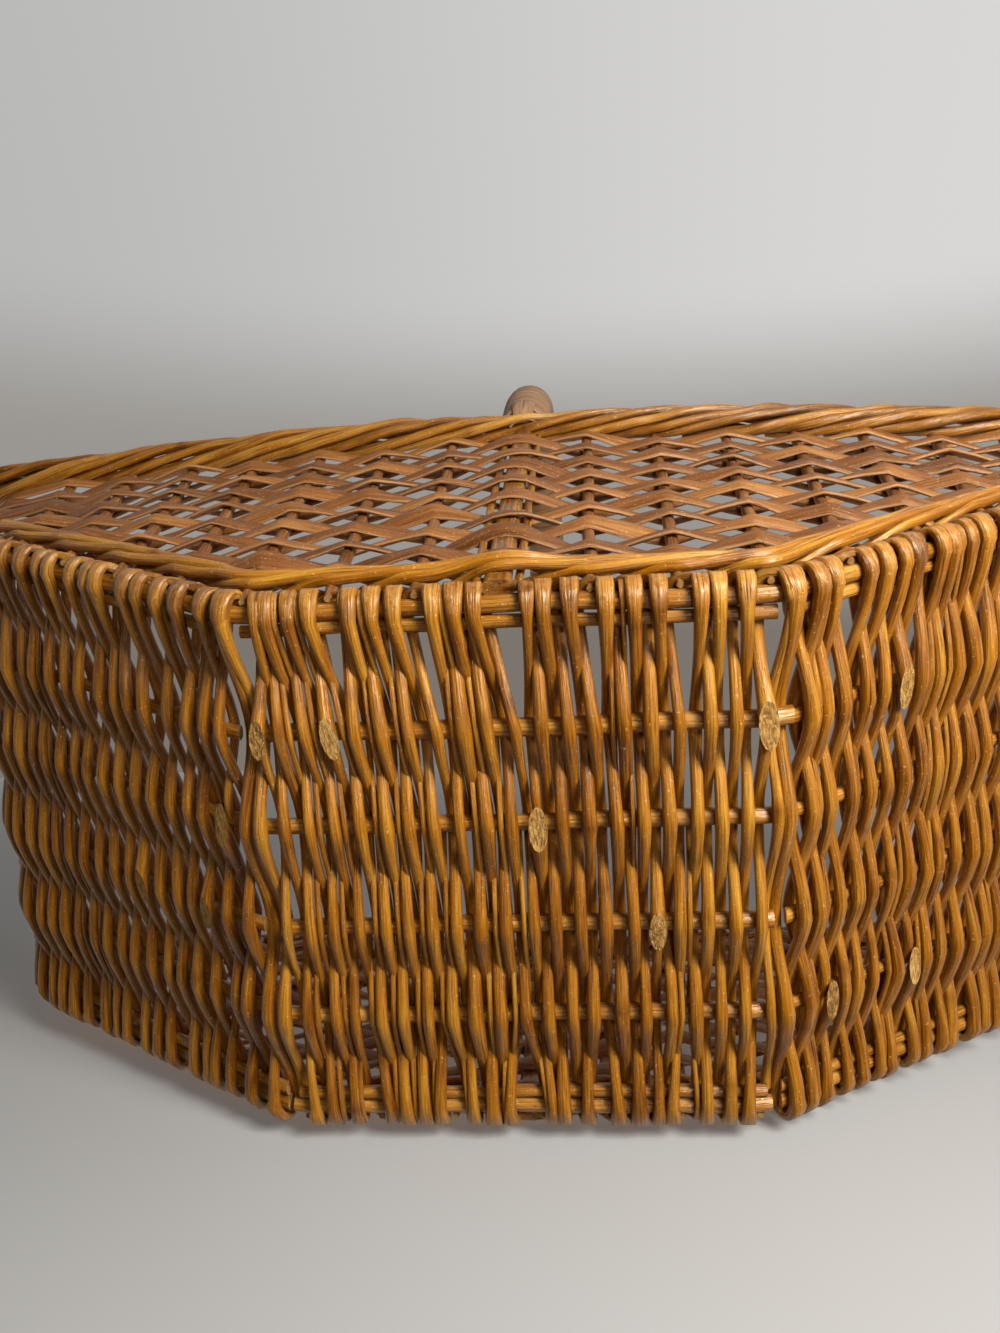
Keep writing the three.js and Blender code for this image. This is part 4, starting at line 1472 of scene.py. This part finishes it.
    def _wrap(self) -> None:
        """Makes the cane: one strip wound round the arch, and two strips along its outside."""
        palette, route = self.shop.palette, self.route
        wound = route.length - 2 * self.wrap_start
        turns = wound / self.turn_pitch
        steps_per_turn = 22
        total = round(turns * steps_per_turn)
        points, facing = [], []
        for k in range(total + 1):
            reach = self.wrap_start + wound * k / total
            spoke = self._spoke(reach, math.tau * k / steps_per_turn)
            points.append(route.point(reach) + spoke * self.wrap_radius * self._girth(reach))
            facing.append(spoke)
        strands = [Strand(points, [self.band_half_width] * len(points), 0.5, facing)]
        for angle in self.strip_angles:
            points, facing = [], []
            steps = round(wound / 4)
            for k in range(steps + 1):
                reach = self.wrap_start + wound * k / steps
                spoke = self._spoke(reach, angle)
                above = min(reach, route.length - reach) - self.wrap_start
                is_over = (above / self.turn_pitch) % self.strip_round < self.strip_over
                lift = self.wrap_radius * self._girth(reach) + self.strip_lift[is_over]
                points.append(route.point(reach) + spoke * lift)
                facing.append(spoke)
            strands.append(Strand(points, [self.strip_half_width] * len(points), 0.8, facing))
        self.shop.make("handle_wrap_cane", strands, Section.CANE, palette.cane, "cane", ["handle_wrap"])


@dataclass
class Studio:
    """The camera, the light, and the pale surfaces round the basket.

    Each lamp has a name, a place and a size in metres, and a power in watts.
    """

    LAMPS: ClassVar[tuple[tuple[str, tuple[float, float, float], float, float], ...]] = (
        ("picture_key", (0.42, -0.52, -0.38), 0.3, 11.4),
        ("picture_front", (0.2, -0.34, -0.85), 0.1, 1.0),
        ("picture_glint", (-0.27, -0.42, -0.85), 0.07, 0.12),
        ("standing_key", (-0.5, 0.55, 1.35), 0.9, 20.0),
        ("back_fill", (-0.6, 1.2, 0.5), 0.9, 10.0),
    )
    image_width: int = 1000
    image_height: int = 1333
    focal_pixels: float = 1018.8
    sensor: float = 36.0
    eye: Vector = field(default_factory=lambda: Vector((25.7, -180.55, -332.34)))
    forward: Vector = field(default_factory=lambda: Vector((-0.0778, 0.2821, 0.9562)))
    picture_up: Vector = field(default_factory=lambda: Vector((0.0354, -0.9578, 0.2854)))

    def build(self) -> None:
        """Makes the camera, the stage and the lamps."""
        self._camera()
        self._stage()
        self._lamps()
        bpy.context.scene.view_settings.view_transform = "Standard"

    def _camera(self) -> None:
        """Makes the camera where the photograph was taken, below the basket's bottom."""
        data = bpy.data.cameras.new("camera")
        data.sensor_width = self.sensor
        data.lens = self.focal_pixels / max(self.image_width, self.image_height) * self.sensor
        data.clip_start, data.clip_end = 0.01, 50
        camera = bpy.data.objects.new("camera", data)
        back = -self.forward.normalized()
        right = self.picture_up.cross(back).normalized()
        up = back.cross(right)
        turn = Matrix((right, up, back)).transposed().to_4x4()
        camera.matrix_world = Matrix.Translation(self.eye * MM) @ turn
        bpy.context.scene.collection.objects.link(camera)
        bpy.context.scene.camera = camera

    def _sheet(self, name: str, corners: Sequence[Vector], colour: str) -> None:
        """Makes a pale sheet that only the camera sees, from its front, with a faint painted glow that lifts
        its shadows.

        Args:
            name: The sheet's name.
            corners: Its corners in metres, counter-clockwise seen from the front.
            colour: Its colour.
        """
        mesh = bpy.data.meshes.new(name)
        mesh.from_pydata(corners, [], [tuple(range(len(corners)))])
        obj = bpy.data.objects.new(name, mesh)
        bpy.context.scene.collection.objects.link(obj)
        material = bpy.data.materials.new(name)
        material.use_nodes = True
        tree = material.node_tree
        tree.nodes.clear()
        ray = add_node(tree, "ShaderNodeLightPath")
        side = add_node(tree, "ShaderNodeNewGeometry")
        front = add_node(tree, "ShaderNodeMath", {"operation": "SUBTRACT"},
                         {0: 1.0, 1: side.outputs["Backfacing"]})
        seen = add_node(tree, "ShaderNodeMath", {"operation": "MULTIPLY"},
                        {0: ray.outputs["Is Camera Ray"], 1: front.outputs["Value"]})
        clear = add_node(tree, "ShaderNodeBsdfTransparent")
        paper = add_node(tree, "ShaderNodeBsdfDiffuse", None, {"Color": linear(colour)})
        # Painted light: a faint glow from no lamp, which lifts the sheet's shadows.
        painted_fill_glow = add_node(tree, "ShaderNodeEmission", None, {"Color": linear("#f6f4f0"), "Strength": 0.1})
        paper_with_painted_glow = add_node(tree, "ShaderNodeAddShader", None,
                          {0: paper.outputs["BSDF"], 1: painted_fill_glow.outputs["Emission"]})
        mixed = add_node(tree, "ShaderNodeMixShader", None,
                         {0: seen.outputs["Value"], 1: clear.outputs["BSDF"], 2: paper_with_painted_glow.outputs["Shader"]})
        add_node(tree, "ShaderNodeOutputMaterial", None, {"Surface": mixed.outputs["Shader"]})
        mesh.materials.append(material)

    def _stage(self) -> None:
        """Makes the floor under the standing basket, and the floor that it lies on in the picture."""
        far, below = 3.0, -0.003
        self._sheet("standing_floor", [Vector((-far, -far, below)), Vector((far, -far, below)),
                                       Vector((far, far, below)), Vector((-far, far, below))], "#cfcdc9")
        wale, rim = Vector((0, 0.121, 0.020)), Vector((0, 0.1595, 0.195))
        climb = (rim - wale).normalized()
        near, away = wale - climb * 1.2, wale + climb * 0.9
        reach = LENGTHWISE * 2.5
        self._sheet("lying_floor", [near - reach, near + reach, away + reach, away - reach], "#a8a6a2")

    def _backdrop(self, tree: bpy.types.NodeTree) -> bpy.types.NodeSocket:
        """Adds the backdrop's colour: lighter to the picture's right, and shaded behind the lying basket.

        The room opposite to it is dark.

        Args:
            tree: The world's node tree.

        Returns:
            The colour.
        """
        towards = add_node(tree, "ShaderNodeTexCoord").outputs["Generated"]

        def share(axis: Vector, low: float, high: float) -> bpy.types.NodeSocket:
            """Adds a soft step from 0 to 1 along a direction."""
            part = add_node(tree, "ShaderNodeVectorMath", {"operation": "DOT_PRODUCT"}, {0: towards, 1: axis})
            step = add_node(tree, "ShaderNodeMapRange", {"interpolation_type": "SMOOTHSTEP"},
                            {"Value": part.outputs["Value"], "From Min": low, "From Max": high})
            return step.outputs["Result"]

        sided = add_node(tree, "ShaderNodeMix", {"data_type": "RGBA"},
                         {"Factor": share(LENGTHWISE, -0.6, 0.4), 6: linear("#b7b7b6"), 7: linear("#d8d7d5")})
        shaded = sided.outputs["Result"]
        for low, high, tone in ((-0.35, -0.19, "#9a9691"), (-0.1, -0.03, "#7b756d")):
            behind = add_node(tree, "ShaderNodeMath", {"operation": "MULTIPLY"},
                              {0: share(self.forward, 0.6, 0.8), 1: share(-self.picture_up, low, high)})
            deeper = add_node(tree, "ShaderNodeMix", {"data_type": "RGBA"},
                              {"Factor": behind.outputs["Value"], 6: shaded, 7: linear(tone)})
            shaded = deeper.outputs["Result"]
        room = add_node(tree, "ShaderNodeMix", {"data_type": "RGBA"},
                        {"Factor": share(-self.forward, 0.1, 0.45), 6: shaded, 7: linear("#33302c")})
        return room.outputs["Result"]

    def _lamps(self) -> None:
        """Makes soft studio light: a pale world, a lamp at the right and weaker ones for other sides."""
        world = bpy.data.worlds.new("studio")
        bpy.context.scene.world = world
        world.use_nodes = True
        tree = world.node_tree
        tree.nodes.clear()
        ray = add_node(tree, "ShaderNodeLightPath")
        mirrored = add_node(tree, "ShaderNodeMath", {"operation": "MAXIMUM"},
                            {0: ray.outputs["Is Glossy Ray"], 1: ray.outputs["Is Transmission Ray"]})
        direct = add_node(tree, "ShaderNodeMath", {"operation": "MAXIMUM"},
                          {0: ray.outputs["Is Camera Ray"], 1: mirrored.outputs["Value"]})
        light = add_node(tree, "ShaderNodeBackground", None, {"Color": linear("#f4f5f7"), "Strength": 0.045})
        shown = add_node(tree, "ShaderNodeBackground", None, {"Color": self._backdrop(tree), "Strength": 1.0})
        mixed = add_node(tree, "ShaderNodeMixShader", None,
                         {0: direct.outputs["Value"], 1: light.outputs["Background"],
                          2: shown.outputs["Background"]})
        add_node(tree, "ShaderNodeOutputWorld", None, {"Surface": mixed.outputs["Shader"]})
        middle = Vector((0, 0, 0.1))
        for name, place, size, power in self.LAMPS:
            data = bpy.data.lights.new(name, "AREA")
            data.size = size
            data.energy = power
            lamp = bpy.data.objects.new(name, data)
            lamp.location = place
            lamp.rotation_euler = (middle - Vector(place)).to_track_quat("-Z", "Y").to_euler()
            lamp.visible_glossy = name.startswith("picture")
            bpy.context.scene.collection.objects.link(lamp)


def main() -> None:
    """Builds the basket round the frame, then the studio."""
    logging.basicConfig(level=logging.INFO, format="%(message)s")
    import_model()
    form = BasketForm()
    shop = Workshop(form, RodSweep(), Palette())
    half = form.base_length / 2
    top = form.strip_half - form.rim_radius + 2
    base_butts = ((-94.0, 1), (-60.0, 1), (11.0, 2), (49.0, 3), (92.0, 1))
    base_overhang = ((2.0, 9.0), (4.0, 8.0), (-3.0, 3.0), (2.0, 4.0), (5.0, 4.0), (2.0, 2.0))
    left_butts = ((-110.0, 2), (-123.0, 3), (-170.0, 3))
    right_butts = ((115.0, 4), (165.0, 4), (150.0, 1))
    StripPanel(shop, "base", -half, half, 11, base_butts, base_overhang, drag=11.0).build()
    StripPanel(shop, "left_end", -half, -top, 12, left_butts, pass_pitch=5.6, butt_radius=(2.6, 3.2),
               tip_radius=(2.0, 2.6), companion_share=0.35, stick_share=0.82, jitter=1.7, lean=3.4,
               tones=(0.0, 0.5)).build()
    StripPanel(shop, "right_end", half, top, 13, right_butts, pass_pitch=4.8, butt_radius=(2.65, 3.2),
               tip_radius=(2.15, 2.7), companion_share=0.55, stick_share=0.85, jitter=1.5, lean=2.8,
               tones=(0.0, 0.5)).build()
    LongWall(shop, "front", -1, 21).build()
    LongWall(shop, "back", 1, 22).build()
    RimBorder(shop).build()
    BowHandle(shop).build()
    Studio().build()


if __name__ == "__main__":
    main()
